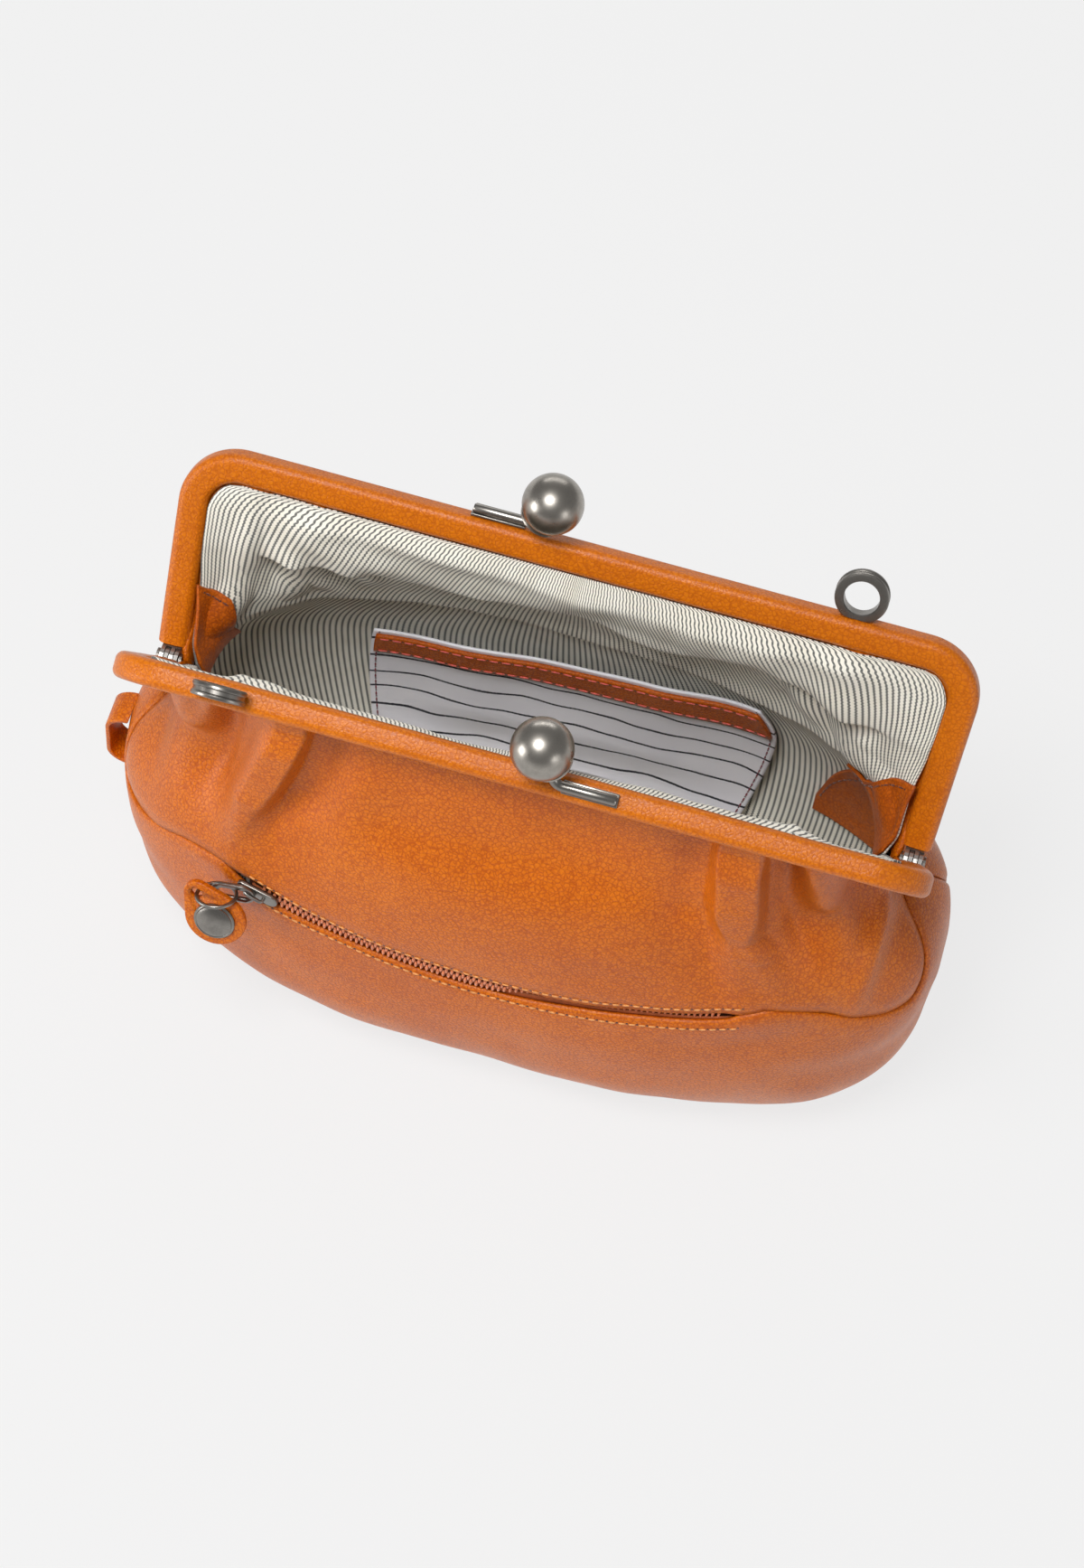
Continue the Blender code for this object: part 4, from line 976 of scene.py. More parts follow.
# %% Lining
def arc_chart(side):
    """Metres across at the shoulder and metres along the middle, as tables."""
    steps = 80
    run = [0.0]
    last = body_point(0.0, 1.0, side, lining_inset)
    for step in range(1, steps + 1):
        here = body_point(column_place(round(step / steps, 6)), 1.0, side, lining_inset)
        run.append(run[-1] + (here - last).length)
        last = here
    climb = [0.0]
    last = body_point(0.0, 0.0, side, lining_inset)
    for step in range(1, steps + 1):
        here = body_point(0.0, 2 * step / steps, side, lining_inset)
        climb.append(climb[-1] + (here - last).length)
        last = here

    def read(table, share):
        place = min(max(share, 0.0), 1.0) * steps
        index = min(int(place), steps - 1)
        return table[index] + (table[index + 1] - table[index]) * (place - index)

    def chart(across, up):
        return math.copysign(read(run, abs(across)), across), read(climb, lining_level(up) / 2)
    return chart


def lining_level(up):
    """Two thirds of the rows are above the shoulder, where the cloth bunches."""
    return between(up, (-1.0, -0.3, 1.0), (0.0, 1.0, 2.0))


def lining_point(place, level, side, deeper=0.0):
    """Lining surface. Above the shoulder it closes up to the leather and to the legs of the frame."""
    if level <= 1:
        point = body_point(place, level, side, lining_inset + deeper)
        point.y += side * touch_gap / 2
        return point
    climb = level - 1
    along, held, edge_y, height = panel_edge(climb)
    inset = lining_inset - 0.0021 * smooth(climb / 0.6) + deeper
    side_inset = lining_inset - 0.0036 * smooth(climb / 0.25)
    side_inset = side_inset - 0.0024 * smooth((climb - 0.40) / 0.35) + deeper
    bulge = round_rise(place)
    depth = shoulder_half_depth * (body_half_depth - inset) / body_half_depth
    edge_inset = inset * held * (1 - bulge * (1 - climb))
    sag = depth * (1 - climb) ** panel_sag_share * bulge
    across = (1 - climb) * round_run(place) + climb * place
    x = (window_half_width(along) - side_inset) * across
    lift = 0.0016 * smooth((level - 1.90) / 0.10)
    y = side * (edge_y + touch_gap / 2 + sag - edge_inset + lift * math.sin(open_angle))
    return Vector((x, y, height + lift * math.cos(open_angle)))


def lining_slack(place, level, side, point):
    """How far the cloth stands inwards: a bunched band under the bar with a wavy lower edge."""
    x = point.x
    wave = 1.66 + 0.05 * math.sin(x * 38 + 0.6) + 0.035 * math.sin(x * 91 + 2.0)
    wave += 0.10 * noise.noise(Vector((x * 17, 9.0, side)))
    drop = smooth((level - wave + 0.04) / 0.055)
    tuck = 1 - smooth((level - 1.925) / 0.075)
    band = drop * tuck - 0.35 * bell(level, wave - 0.07, 0.07)
    gathers = 0.8 + 0.5 * noise.noise(Vector((x * 34, 3.0, level * 4)))
    stand = 0.0068 if side > 0 else 0.0055
    reach = abs(round_run(place))
    side_free = 1 - smooth((reach - 0.90) / 0.08) * 0.9
    loose = smooth((level - 0.8) / 0.3) * (1 - smooth((level - 1.92) / 0.08))
    slack = (creases(point, 30.0, 0.0012) + creases(point, 75.0, 0.0004)) * loose
    pinch = 0.0022 * bell(level, 1.45, 0.24) * smooth((reach - 0.60) / 0.2)
    pinch *= math.sin(x * 300 + level * 11)
    total = (band * gathers * stand + slack + pinch) * side_free
    if side < 0 and level > 1:
        # The front lining makes room for the leather's hollows and shows a rim below the bar
        hollow = -panel_folds(x * 1000, between(level, (1.0, 2.0), (0.35, 1.0)))
        total += 0.0020 * bell(level, 1.955, 0.04) + max(hollow - 1.4, 0.0) * millimetre
    return total


def lining(side):
    def surface(across, up):
        return lining_point(column_place(round(across, 6)), lining_level(up), side)

    def dressing(across, up, point):
        return lining_slack(column_place(round(across, 6)), lining_level(up), side, point)
    return surface, dressing


for lining_side, half in ((-1, "front"), (1, "back")):
    lining_surface, lining_dressing = lining(lining_side)
    cloth = cloth_piece(f"{half}_ticking", 220, 140, lining_surface, lining_dressing, ticking, lining_wall,
                        towards_middle, chart=arc_chart(lining_side), clear=(f"{half}_leather", 0.0029, -1))
    bent_between(cloth, f"{half}_frame", "lining", f"lining_{half}")

# %% [markdown]
# ## Frame covers
# Each half of the frame is a steel bar wrapped in thin leather. A curve with a bevel could make it,
# but its corners would not be true quarter turns. So the wrap is swept: one rounded section goes up a
# leg, round both corners and down the other leg, with the extrude and spin operators. A faint wave
# keeps the flat faces from looking machined.


# %% Sweep round the frame
def half_matrix(half):
    """Where a frame half stands when the bag is open. The front half is the back one turned round."""
    turn = math.pi if half == "front" else 0.0
    return (Matrix.Translation((0.0, 0.0, hinge_height)) @ Matrix.Rotation(turn, 4, 'Z')
            @ Matrix.Rotation(-open_angle, 4, 'X'))


def rounded_section(height, thickness, radius, steps=8):
    """Rectangle with round corners, as pairs across and through the bar."""
    points = []
    for corner in range(4):
        across = (height / 2 - radius) * (1 if corner in (0, 3) else -1)
        through = (thickness / 2 - radius) * (1 if corner in (0, 1) else -1)
        for step in range(steps + 1):
            angle = math.pi / 2 * (corner + step / steps)
            points.append((across + radius * math.cos(angle), through + radius * math.sin(angle)))
    return points


def sweep_frame(shape, sections, end_height, corner_steps=20, leg_steps=8, bar_steps=40):
    """Hollow bar: the ring between two sections is drawn up a leg, over the top and down again."""
    up = Vector((-math.sin(leg_lean), 0.0, math.cos(leg_lean)))
    outward = Vector((-math.cos(leg_lean), 0.0, -math.sin(leg_lean)))
    start = Vector((-leg_middle_x(end_height), cover_middle, end_height))
    outer, inner = [[shape.verts.new(start + outward * across + Vector((0.0, through, 0.0)))
                     for across, through in section] for section in sections]
    faces = [shape.faces.new((outer[index - 1], outer[index], inner[index], inner[index - 1]))
             for index in range(len(outer))]
    turn_z = bend_centre_z - bend_radius * math.sin(leg_lean)
    leg_length = (turn_z - end_height) / math.cos(leg_lean)

    def straight(region, direction, parts, keep=False):
        for part in range(parts):
            first = keep and part == 0
            grown = bmesh.ops.extrude_face_region(shape, geom=region, use_keep_orig=first)["geom"]
            bmesh.ops.translate(shape, vec=direction / parts, verts=made_verts(grown))
            if not first:
                left = [face for face in region if face.is_valid]
                bmesh.ops.delete(shape, geom=left, context='FACES_ONLY')
            region = made_faces(grown)
        return region

    def bend(region, centre_x):
        grown = bmesh.ops.spin(shape, geom=region, cent=(centre_x, 0.0, bend_centre_z), axis=(0, 1, 0),
                               angle=math.pi / 2 + leg_lean, steps=corner_steps, use_duplicate=False)
        left = [face for face in region if face.is_valid]
        bmesh.ops.delete(shape, geom=left, context='FACES_ONLY')
        return made_faces(grown["geom_last"])

    faces = straight(faces, up * leg_length, leg_steps, keep=True)
    faces = bend(faces, -bend_centre_x)
    faces = straight(faces, Vector((2 * bend_centre_x, 0.0, 0.0)), bar_steps)
    faces = bend(faces, bend_centre_x)
    straight(faces, Vector((up.x, 0.0, -up.z)) * leg_length, leg_steps)


# %% Both frame covers
outer_round = 0.0028
inner_round = 0.0014
cover_wave = Vector((0.0, 0.00012, 0.0))
for half in ("back", "front"):
    cover_shape = bmesh.new()
    outer_section = rounded_section(cover_height, cover_thickness, outer_round)
    inner_section = rounded_section(cover_height - 2 * cover_wall, cover_thickness - 2 * cover_wall,
                                    inner_round)
    sweep_frame(cover_shape, (outer_section, inner_section), cover_end_height)
    for vert in cover_shape.verts:
        vert.co += cover_wave * noise.noise(vert.co * 60)
    cover = new_piece(f"{half}_cover_leather", cover_shape, frame_leather, place=half_matrix(half))
    settle(cover, f"{half}_frame", "leather", f"{half}_frame_cover")

# %% [markdown]
# ## Balls, clasp arms and rings
# The two balls are heavy dark nickel castings on short necks. Each neck grows out of a half-round bar
# that lies on a flat plate on top of the frame, and ends in a thin cup under the ball. Such fittings
# are turned or bent from rod, so they are made the same way here: spun from a profile, or extruded
# ring by ring along a path. The rings for the strap have a flat band between two raised rims, and are
# cut flat where they sit on the frame.

# %% Clasp sizes
ball_radius = 0.010
ball_rise = 0.0052
ball_reach = 0.0052
ball_pass_gap = 0.0003
fitting_offset = -0.0031
clasp_length = 0.0255
clasp_radius = 0.0017
neck_radius = 0.0015
neck_run = 0.0085
neck_direction = Vector((-0.38, 0.37, -0.85)).normalized()
plate_width = 0.0044
plate_thickness = 0.0009
cup_thickness = 0.0008
cup_spread = math.radians(40.0)
ring_radius = 0.0088
ring_bore = 0.0058
ring_seat_depth = 0.0013
ring_spacing = 0.6865 * frame_half_width
ball_height = frame_height + ball_rise + ball_radius
rod_height = bar_top + plate_thickness + clasp_radius - 0.0006


upright = Matrix.Rotation(math.pi / 2, 4, 'X')
merge_distance = 0.000002


def close_holes(shape):
    bmesh.ops.holes_fill(shape, edges=[edge for edge in shape.edges if edge.is_boundary], sides=0)


def sweep_tube(shape, path, radii, sides=24):
    """Round rod: a circle is extruded from point to point along a path, and both ends are closed."""
    def place(index):
        before, after = path[max(index - 1, 0)], path[min(index + 1, len(path) - 1)]
        turn = (after - before).to_track_quat('Z', 'Y').to_matrix().to_4x4()
        return Matrix.Translation(path[index]) @ turn @ Matrix.Diagonal((radii[index],) * 3 + (1.0,))

    ring = bmesh.ops.create_circle(shape, segments=sides, radius=1.0, matrix=place(0))["verts"]
    edges = [edge for edge in shape.edges if edge.verts[0] in ring and edge.verts[1] in ring]
    for index in range(1, len(path)):
        grown = bmesh.ops.extrude_edge_only(shape, edges=edges)["geom"]
        verts = made_verts(grown)
        bmesh.ops.transform(shape, matrix=place(index) @ place(index - 1).inverted(), verts=verts)
        found = set(verts)
        edges = [item for item in grown if isinstance(item, bmesh.types.BMEdge)
                 and item.verts[0] in found and item.verts[1] in found]
    close_holes(shape)


def spun(shape, profile, steps, matrix, closed=False):
    """Turned solid: a profile of (radius, height) pairs spun round the z axis."""
    verts = [shape.verts.new((radius, 0.0, height)) for radius, height in profile]
    edges = [shape.edges.new(pair) for pair in zip(verts, verts[1:])]
    if closed:
        edges.append(shape.edges.new((verts[-1], verts[0])))
    before = set(shape.verts) - set(verts)
    bmesh.ops.spin(shape, geom=verts + edges, cent=(0, 0, 0), axis=(0, 0, 1), angle=math.tau,
                   steps=steps, use_merge=True)
    new = [vert for vert in shape.verts if vert not in before]
    bmesh.ops.remove_doubles(shape, verts=new, dist=merge_distance)
    new = [vert for vert in shape.verts if vert not in before]
    bmesh.ops.transform(shape, matrix=matrix, verts=new)


def bevelled_block(shape, size, middle, width):
    """Box with all its edges rounded to a width."""
    scale = Matrix.Diagonal((*size, 1.0))
    made = bmesh.ops.create_cube(shape, size=1.0, matrix=Matrix.Translation(middle) @ scale)["verts"]
    edges = [edge for edge in shape.edges if edge.verts[0] in made and edge.verts[1] in made]
    bmesh.ops.bevel(shape, geom=edges, offset=width, affect='EDGES', segments=3, profile=0.5, material=-1)


# %% Clasps of both halves
for half, shift in (("back", fitting_offset), ("front", -fitting_offset)):
    ball_middle = Vector((shift - ball_radius - ball_pass_gap / 2, -ball_reach, ball_height))
    stand = half_matrix(half)

    ball_shape = bmesh.new()
    bmesh.ops.create_uvsphere(ball_shape, u_segments=72, v_segments=44, radius=ball_radius,
                              matrix=stand @ Matrix.Translation(ball_middle))
    settle(new_piece(f"{half}_ball", ball_shape, dark_nickel), f"{half}_frame", "nickel",
           f"{half}_clasp_ball")

    arm_shape = bmesh.new()
    neck_end = ball_middle + neck_direction * (ball_radius + touch_gap + cup_thickness / 2)
    bar_start = Vector((ball_middle.x - neck_run, cover_middle, rod_height))
    bar_end = Vector((ball_middle.x - clasp_length, cover_middle, rod_height))
    corner = bar_start + Vector((neck_run * 0.55, 0.0, 0.0))
    path, radii = [], []
    for index in range(13):
        share = index / 12
        path.append((1 - share) ** 2 * neck_end + 2 * share * (1 - share) * corner + share ** 2 * bar_start)
        radii.append(neck_radius * 1.25 + (clasp_radius - neck_radius * 1.25) * smooth(share))
    path += [bar_start.lerp(bar_end, 0.5), bar_end + Vector((0.0006, 0.0, 0.0)), bar_end]
    radii += [clasp_radius, clasp_radius, clasp_radius * 0.75]
    sweep_tube(arm_shape, path, radii)
    settle(new_piece(f"{half}_arm", arm_shape, gunmetal, place=stand), f"{half}_frame", "nickel",
           f"{half}_clasp_arm")

    plate_shape = bmesh.new()
    plate_length = clasp_length - neck_run + 0.0010
    bevelled_block(plate_shape, (plate_length, plate_width, plate_thickness),
                   (ball_middle.x - neck_run - plate_length / 2 + 0.0005, cover_middle,
                    bar_top + plate_thickness / 2), 0.00028)
    settle(new_piece(f"{half}_arm_plate", plate_shape, gunmetal, place=stand), f"{half}_frame", "nickel")

    cup_shape = bmesh.new()
    inner, outer = ball_radius + 0.00005, ball_radius + touch_gap + cup_thickness
    turns = [cup_spread * step / 10 for step in range(11)]
    polar = [(inner, turn) for turn in turns] + [((inner + outer) / 2, cup_spread + 0.03)]
    polar += [(outer, turn) for turn in reversed(turns)]
    rim = [(radius * math.sin(turn), radius * math.cos(turn)) for radius, turn in polar]
    turn = neck_direction.to_track_quat('Z', 'Y').to_matrix().to_4x4()
    spun(cup_shape, rim, 48, stand @ Matrix.Translation(ball_middle) @ turn)
    settle(new_piece(f"{half}_ball_cup", cup_shape, dark_nickel), f"{half}_frame", "nickel")

# %% Strap rings
metal_edge = math.radians(35.0)
ring_profile = [(ring_bore, -0.0019), (ring_bore + 0.0003, -0.0023), (0.0080, -0.0023), (0.0086, -0.0021),
                (0.0088, -0.0017), (0.0088, -0.0011), (0.00855, -0.0008), (0.0083, -0.0006), (0.0083, 0.0006),
                (0.00855, 0.0008), (0.0088, 0.0011), (0.0088, 0.0017), (0.0086, 0.0021), (0.0080, 0.0023),
                (ring_bore + 0.0003, 0.0023), (ring_bore, 0.0019)]
for half, shift in (("back", fitting_offset), ("front", -fitting_offset)):
    ring_shape = bmesh.new()
    middle = Vector((ring_spacing + shift, cover_middle, bar_top + ring_radius - ring_seat_depth))
    spun(ring_shape, ring_profile, 72, Matrix.Translation(middle) @ upright, closed=True)
    bmesh.ops.bisect_plane(ring_shape, geom=ring_shape.verts[:] + ring_shape.edges[:] + ring_shape.faces[:],
                           plane_co=(0, 0, bar_top), plane_no=(0, 0, 1), clear_inner=True)
    close_holes(ring_shape)
    ring = new_piece(f"{half}_ring", ring_shape, gunmetal, sharp=metal_edge, place=half_matrix(half))
    settle(ring, f"{half}_frame", "nickel", f"{half}_strap_ring")

for node, material in (("back_frame_core", dull_steel), ("front_frame_core", dull_steel),
                       ("hinge_pin_left", gunmetal), ("hinge_pin_right", gunmetal)):
    for material_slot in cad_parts[node].material_slots:
        material_slot.material = material
print("rings, cores and pins")

# %% [markdown]
# ## Facings and the slip pocket
# Inside, leather facings cover the corners beside the hinges, sewn along their tops. A cotton slip
# pocket hangs on the back lining under a narrow leather band. Loose sheets would have to be fitted to
# the lining by eye, so these are stretches of the lining's own surface, a little further in. Each one
# is then pushed clear of the cloth under it.


# %% Facings
inner_face = lining_inset + lining_wall + touch_gap
facing_depth = 0.0017
facing_wall = 0.0012


def facing(name, places, tops, low, low_place, bow, way, node):
    """Leather over a corner of the lining. Its top edge follows the pairs of place and level.

    low and low_place are the level of its lower edge and the place where its inner edge ends there.
    bow is 1 for a straight inner edge and more for one that swings out.
    """
    def outline(across, up):
        share, lift = (across + 1) / 2, (up + 1) / 2
        high = places[0] + (places[-1] - places[0]) * share
        base = low_place + (places[-1] - low_place) * share
        return way * (base + (high - base) * lift ** bow), low + (follow(tops, places, high) - low) * lift

    def surface(across, up):
        place, level = outline(across, up)
        point = lining_point(place, level, 1, facing_depth)
        tucked_in = 0.0034 * smooth((abs(place) - 0.93) / 0.07) * smooth((level - 1) / 0.1)
        point.x += math.copysign(tucked_in, place)
        return point

    def dressing(across, up, point):
        place, level = outline(across, up)
        return 0.8 * lining_slack(place, level, 1, point) + abs(creases(point, 45.0, 0.0006))
    piece = cloth_piece(name, 80, 80, surface, dressing, inner_leather, facing_wall, towards_middle,
                        clear=("back_ticking", 0.0015, 1))
    bent_between(piece, "back_frame", "leather", node)
    return outline


facing_foot = 0.60
right_outline = facing("right_facing_leather", (0.39, 0.42, 0.46, 0.52, 0.60, 0.70, 0.80, 0.90, 0.999),
                       (0.66, 0.77, 0.84, 0.90, 0.98, 1.08, 1.26, 1.41, 1.50), facing_foot, 0.39, 2, 1,
                       "right_facing")
left_outline = facing("left_facing_leather", (0.885, 0.91, 0.94, 0.97, 0.999), (1.40, 1.43, 1.46, 1.49, 1.53),
                      facing_foot, 0.70, 1, -1, "left_facing")

# %% Slip pocket and its band
wall_rows = 14
pocket_rows = (3, 6)
pocket_fabric = 0.0009
pocket_stand = 0.0020
pocket_belly = 0.0036
band_top = 0.94
band_share = 0.38


def pocket_place(across, up):
    """Place and level on the back wall, and how far inside the body the pocket stands there."""
    span = pocket_rows[1] - pocket_rows[0]
    row = pocket_rows[0] + span * (up + 1) / 2
    side_turn = smooth((1 - abs(across)) / 0.6)
    low_turn = smooth((up + 1) * span / 2)
    stand = inner_face + pocket_stand + pocket_belly * side_turn * low_turn
    low = (1 - up) / 2
    share = 0.555 * across + 0.010 - low * (0.062 + 0.032 * across)
    return place_of_share(share), 2 * row / wall_rows + (0.056 + 0.062 * across) * (1 - low), stand


def pocket_surface(across, up):
    place, level, stand = pocket_place(across, up)
    return lining_point(place, level, 1, stand + pocket_fabric - lining_inset)


def pocket_dressing(across, up, point):
    return 0.0011 * noise.noise(Vector((point.x * 38, 2.0, point.z * 16)))


def pocket_chart(across, up):
    """Metres across and down. The lines fan out a little, and none falls on the top edge."""
    return 0.076 * across, max(0.0760 * (1 - up) / 2 + 0.0012 - 0.004 * across * up, 0.0030)


pocket = cloth_piece("slip_pocket", 120, 70, pocket_surface, pocket_dressing, pocket_cotton, pocket_fabric,
                     towards_middle, chart=pocket_chart, clear=("back_ticking", 0.0012, 1))
settle(pocket, "bag", "pocket_cloth", "inner_pocket")


def band_surface(across, up):
    place, level, stand = pocket_place(across * 0.992, band_top - band_share * (1 - up) / 2)
    return lining_point(place, level, 1, stand + pocket_fabric + touch_gap + facing_wall - lining_inset)


band = cloth_piece("pocket_band", 120, 8, band_surface,
                   lambda across, up, point: pocket_dressing(across, up, point) + 0.0003 * (1 - up ** 4),
                   inner_leather, facing_wall, towards_middle, clear=("slip_pocket", 0.0015, 1))
settle(band, "bag", "leather", "inner_pocket_band")

# %% [markdown]
# ## The curved zip
# The seam across the front opens into a zip pocket. Its coil is rust brown nylon: two rows of small
# oval loops that mesh half a pitch apart, on two woven tapes, with a dark pouch behind. An array along
# a curve could repeat the loops, but here each one is set on the wall by its own matrix, so that both
# rows follow the leather. The pull is a chain of a dark slider, a flat oval link, a wire ring and a
# leather tab with a domed rivet.


# %% Coil, tapes and pouch
def on_zip(x, offset, inset):
    """Point of the front wall this far above the middle of the zip."""
    return wall_point(x, zip_height(x) + offset, -1, inset)


def undressed(across, up, point):
    return 0.0


coil_pitch = 0.0019
coil_offset = 0.00115
tape_start = 0.0022
tape_width = 0.0085
pouch_depth = 0.042
pouch_share = 0.5895
for row_name, row_side, node in (("coil_upper", 1, "zip_teeth_upper"), ("coil_lower", -1, "zip_teeth_lower")):
    coil_shape = bmesh.new()
    count = int(2 * zip_half_length / coil_pitch)
    for number in range(count):
        x = zip_centre - zip_half_length + coil_pitch * (number + (0.25 if row_side > 0 else 0.75))
        sink = 0.0002 + 0.0021 * smooth((x - 0.004) / 0.015)
        middle = on_zip(x, row_side * coil_offset, sink + 0.0008)
        ahead = (on_zip(x + 0.001, row_side * coil_offset, sink + 0.0008) - middle).normalized()
        across = (on_zip(x, row_side * tape_start, sink + 0.0008) - middle).normalized()
        turn = facing_along(ahead, across, ahead.cross(across))
        bmesh.ops.create_uvsphere(coil_shape, u_segments=8, v_segments=5, radius=1.0,
                                  matrix=Matrix.Translation(middle) @ turn
                                  @ Matrix.Diagonal((coil_pitch * 0.30, 0.00175, 0.00062, 1.0)))
    settle(new_piece(row_name, coil_shape, coil_brown), "bag", "zip_teeth", node)

for tape_name, tape_side in (("tape_upper", 1), ("tape_lower", -1)):
    def tape_surface(across, up, tape_side=tape_side):
        x = zip_centre + (zip_half_length + 0.0042) * across
        return on_zip(x, tape_side * (tape_start + tape_width * (up + 1) / 2), 0.0026)
    tape = cloth_piece(tape_name, 110, 8, tape_surface, undressed, tape_cloth, 0.0005, away_from_middle)
    settle(tape, "bag", "zip_tape", f"zip_{tape_name}")


def pouch_surface(across, up):
    x = zip_centre + pouch_share * body_half_width * across
    upper = zip_height(x) + tape_width
    return wall_point(x, upper - (tape_width + pouch_depth) * (1 - up) / 2, -1, 0.0038)


pouch = cloth_piece("zip_pouch_cloth", 80, 30, pouch_surface, undressed, pouch_cloth, 0.0008,
                    away_from_middle)
settle(pouch, "bag", "pouch_cloth", "zip_pouch")

# %% Where the pull's pieces stand
slider_thickness = 0.0016
slider_sink = 0.0001
slider_length = 0.0150
slider_height = 0.0058
bail_radius = 0.0006
bail_height = 0.0026
bail_half_length = 0.0034
link_length = 0.0150
link_height = 0.0098
link_thickness = 0.0011
link_wall = 0.0022
pull_ring_radius = 0.0065
pull_ring_wire = 0.0007
pull_ring_lift = 0.003
pull_ring_turn = math.radians(70.0)
tab_length = 0.0265
tab_width = 0.0210
tab_thickness = 0.0024
tab_hole_inset = 0.0047
rivet_radius = 0.0070

track_inward = Vector((0.0, math.sin(zip_track_tilt), math.cos(zip_track_tilt)))
track_middle = wall_point(zip_centre, hinge_height - zip_drop, -1, 0.0)
track_centre = track_middle + track_inward * zip_track_radius
track_axis = Vector((1.0, 0.0, 0.0)).cross(track_inward)
slider_share = -0.5474
link_sway, link_swing, tab_swing = math.radians(24.0), math.radians(10.0), math.radians(57.0)
rest_turn = math.asin((slider_share * body_half_width - zip_centre) / zip_track_radius)
slider_place = (Matrix.Translation(track_centre) @ Matrix.Rotation(rest_turn, 4, track_axis)
                @ Matrix.Translation(track_middle - track_centre))
link_lift = slider_sink - slider_thickness - (bail_height - bail_radius) / 2
link_place = (slider_place @ Matrix.Translation((0.0, link_lift, 0.0))
              @ Matrix.Rotation(math.pi - link_sway, 4, 'Y') @ Matrix.Rotation(-link_swing, 4, 'Z'))
link_end = Vector((link_length - link_thickness / 2 - link_wall / 2, 0.0, 0.0))
ring_outward = Vector((0.0, -math.sin(pull_ring_turn), -math.cos(pull_ring_turn)))
half_chord = math.sqrt(pull_ring_radius ** 2 - pull_ring_lift ** 2)
ring_middle = Vector((0.006 + half_chord, 0.0, 0.0)) + ring_outward * pull_ring_lift
along_link = Vector((1.0, 0.0, 0.0))
ring_turned = facing_along(along_link, ring_outward.cross(along_link), ring_outward)
ring_place = link_place @ Matrix.Translation(link_end)
tab_hole = ring_middle + Vector((pull_ring_radius, 0.0, 0.0)) - link_end
tab_place = (ring_place @ Matrix.Translation(tab_hole) @ ring_turned @ Matrix.Rotation(-math.pi / 2, 4, 'X')
             @ Matrix.Rotation(math.pi + tab_swing, 4, 'Y'))
print("slider at", tuple(round(value, 4) for value in slider_place.translation))


# %% Flat plates with rounded edges
def plate(shape, outline, thickness, width, segments=3):
    """Flat plate in the x-z plane, its middle on y = 0, with bevelled edges."""
    verts = [shape.verts.new((x, -thickness / 2, z)) for x, z in outline]
    face = shape.faces.new(verts)
    grown = bmesh.ops.extrude_face_region(shape, geom=[face], use_keep_orig=True)["geom"]
    top = made_verts(grown)
    bmesh.ops.translate(shape, vec=(0.0, thickness, 0.0), verts=top)
    everything = set(verts) | set(top)
    rims = [edge for edge in shape.edges if edge.verts[0] in everything and edge.verts[1] in everything
            and abs(edge.verts[0].co.y - edge.verts[1].co.y) < thickness / 2]
    bmesh.ops.recalc_face_normals(shape, faces=shape.faces[:])
    bmesh.ops.bevel(shape, geom=rims, offset=width, affect='EDGES', segments=segments, profile=0.5,
                    material=-1)


def two_circles(near_radius, far_radius, distance, steps):
    """Outline round two circles and along their common tangents."""
    lean = math.asin((far_radius - near_radius) / distance)
    points = []
    for centre, radius, start, sweep in ((distance, far_radius, -math.pi / 2 - lean, math.pi + 2 * lean),
                                         (0.0, near_radius, math.pi / 2 + lean, math.pi - 2 * lean)):
        for step in range(steps + 1):
            angle = start + sweep * step / steps
            points.append((centre + radius * math.cos(angle), radius * math.sin(angle)))
    return points


def oval(start, end, half_height, steps):
    """Outline of two half rounds joined by straight sides."""
    radius = min(half_height, (end - start) / 2)
    points = []
    for centre, turn in ((end - radius, -math.pi / 2), (start + radius, math.pi / 2)):
        for step in range(steps + 1):
            angle = turn + math.pi * step / steps
            points.append((centre + radius * math.cos(angle), half_height * math.sin(angle)))
    return points


def cut_out(piece, cutter_shape):
    """Cut a shape out of a piece and drop the cutter."""
    cutter = new_piece("cutter", cutter_shape, dark_nickel)
    change = piece.modifiers.new("cut", 'BOOLEAN')
    change.object = cutter
    change.operation = 'DIFFERENCE'
    change.solver = 'EXACT'
    freeze(piece)
    bpy.data.objects.remove(cutter, do_unlink=True)


# %% Slider
slider_shape = bmesh.new()
nose = slider_height / 2
plate(slider_shape, two_circles(nose / 2, nose, slider_length - nose - nose / 2, 14), slider_thickness,
      0.0004)
slider_middle = (slider_length - 3 * nose / 2) / 2
bmesh.ops.translate(slider_shape, vec=(-slider_middle, slider_sink - slider_thickness / 2, 0.0),
                    verts=slider_shape.verts[:])
bail_path = []
bail_squareness = 0.45
for step in range(15):
    angle = math.pi * step / 14
    reach = math.copysign(abs(math.cos(angle)) ** bail_squareness, math.cos(angle))
    lift = math.sin(angle) ** bail_squareness
    bail_path.append(Vector((bail_half_length * reach, -slider_thickness + slider_sink + 0.0004
                             - (bail_height - 0.0003) * lift, 0.0)))
sweep_tube(slider_shape, bail_path, [bail_radius] * len(bail_path), sides=14)
settle(new_piece("slider", slider_shape, gunmetal, sharp=metal_edge, place=slider_place), "zip_slider",
       "nickel", "zip_slider")

# %% Oval link and wire ring
link_shape = bmesh.new()
eye = link_thickness / 2
plate(link_shape, oval(-eye, link_length - eye, link_height / 2, 24), link_thickness, 0.0002)
link = new_piece("oval_link", link_shape, gunmetal, sharp=metal_edge)
hole_shape = bmesh.new()
plate(hole_shape, oval(eye, link_length - eye - link_wall, link_height / 2 - link_wall, 20),
      link_thickness * 3, 0.0001, segments=1)
cut_out(link, hole_shape)
link.data.transform(link_place)
settle(link, "pull_link", "nickel", "pull_link")

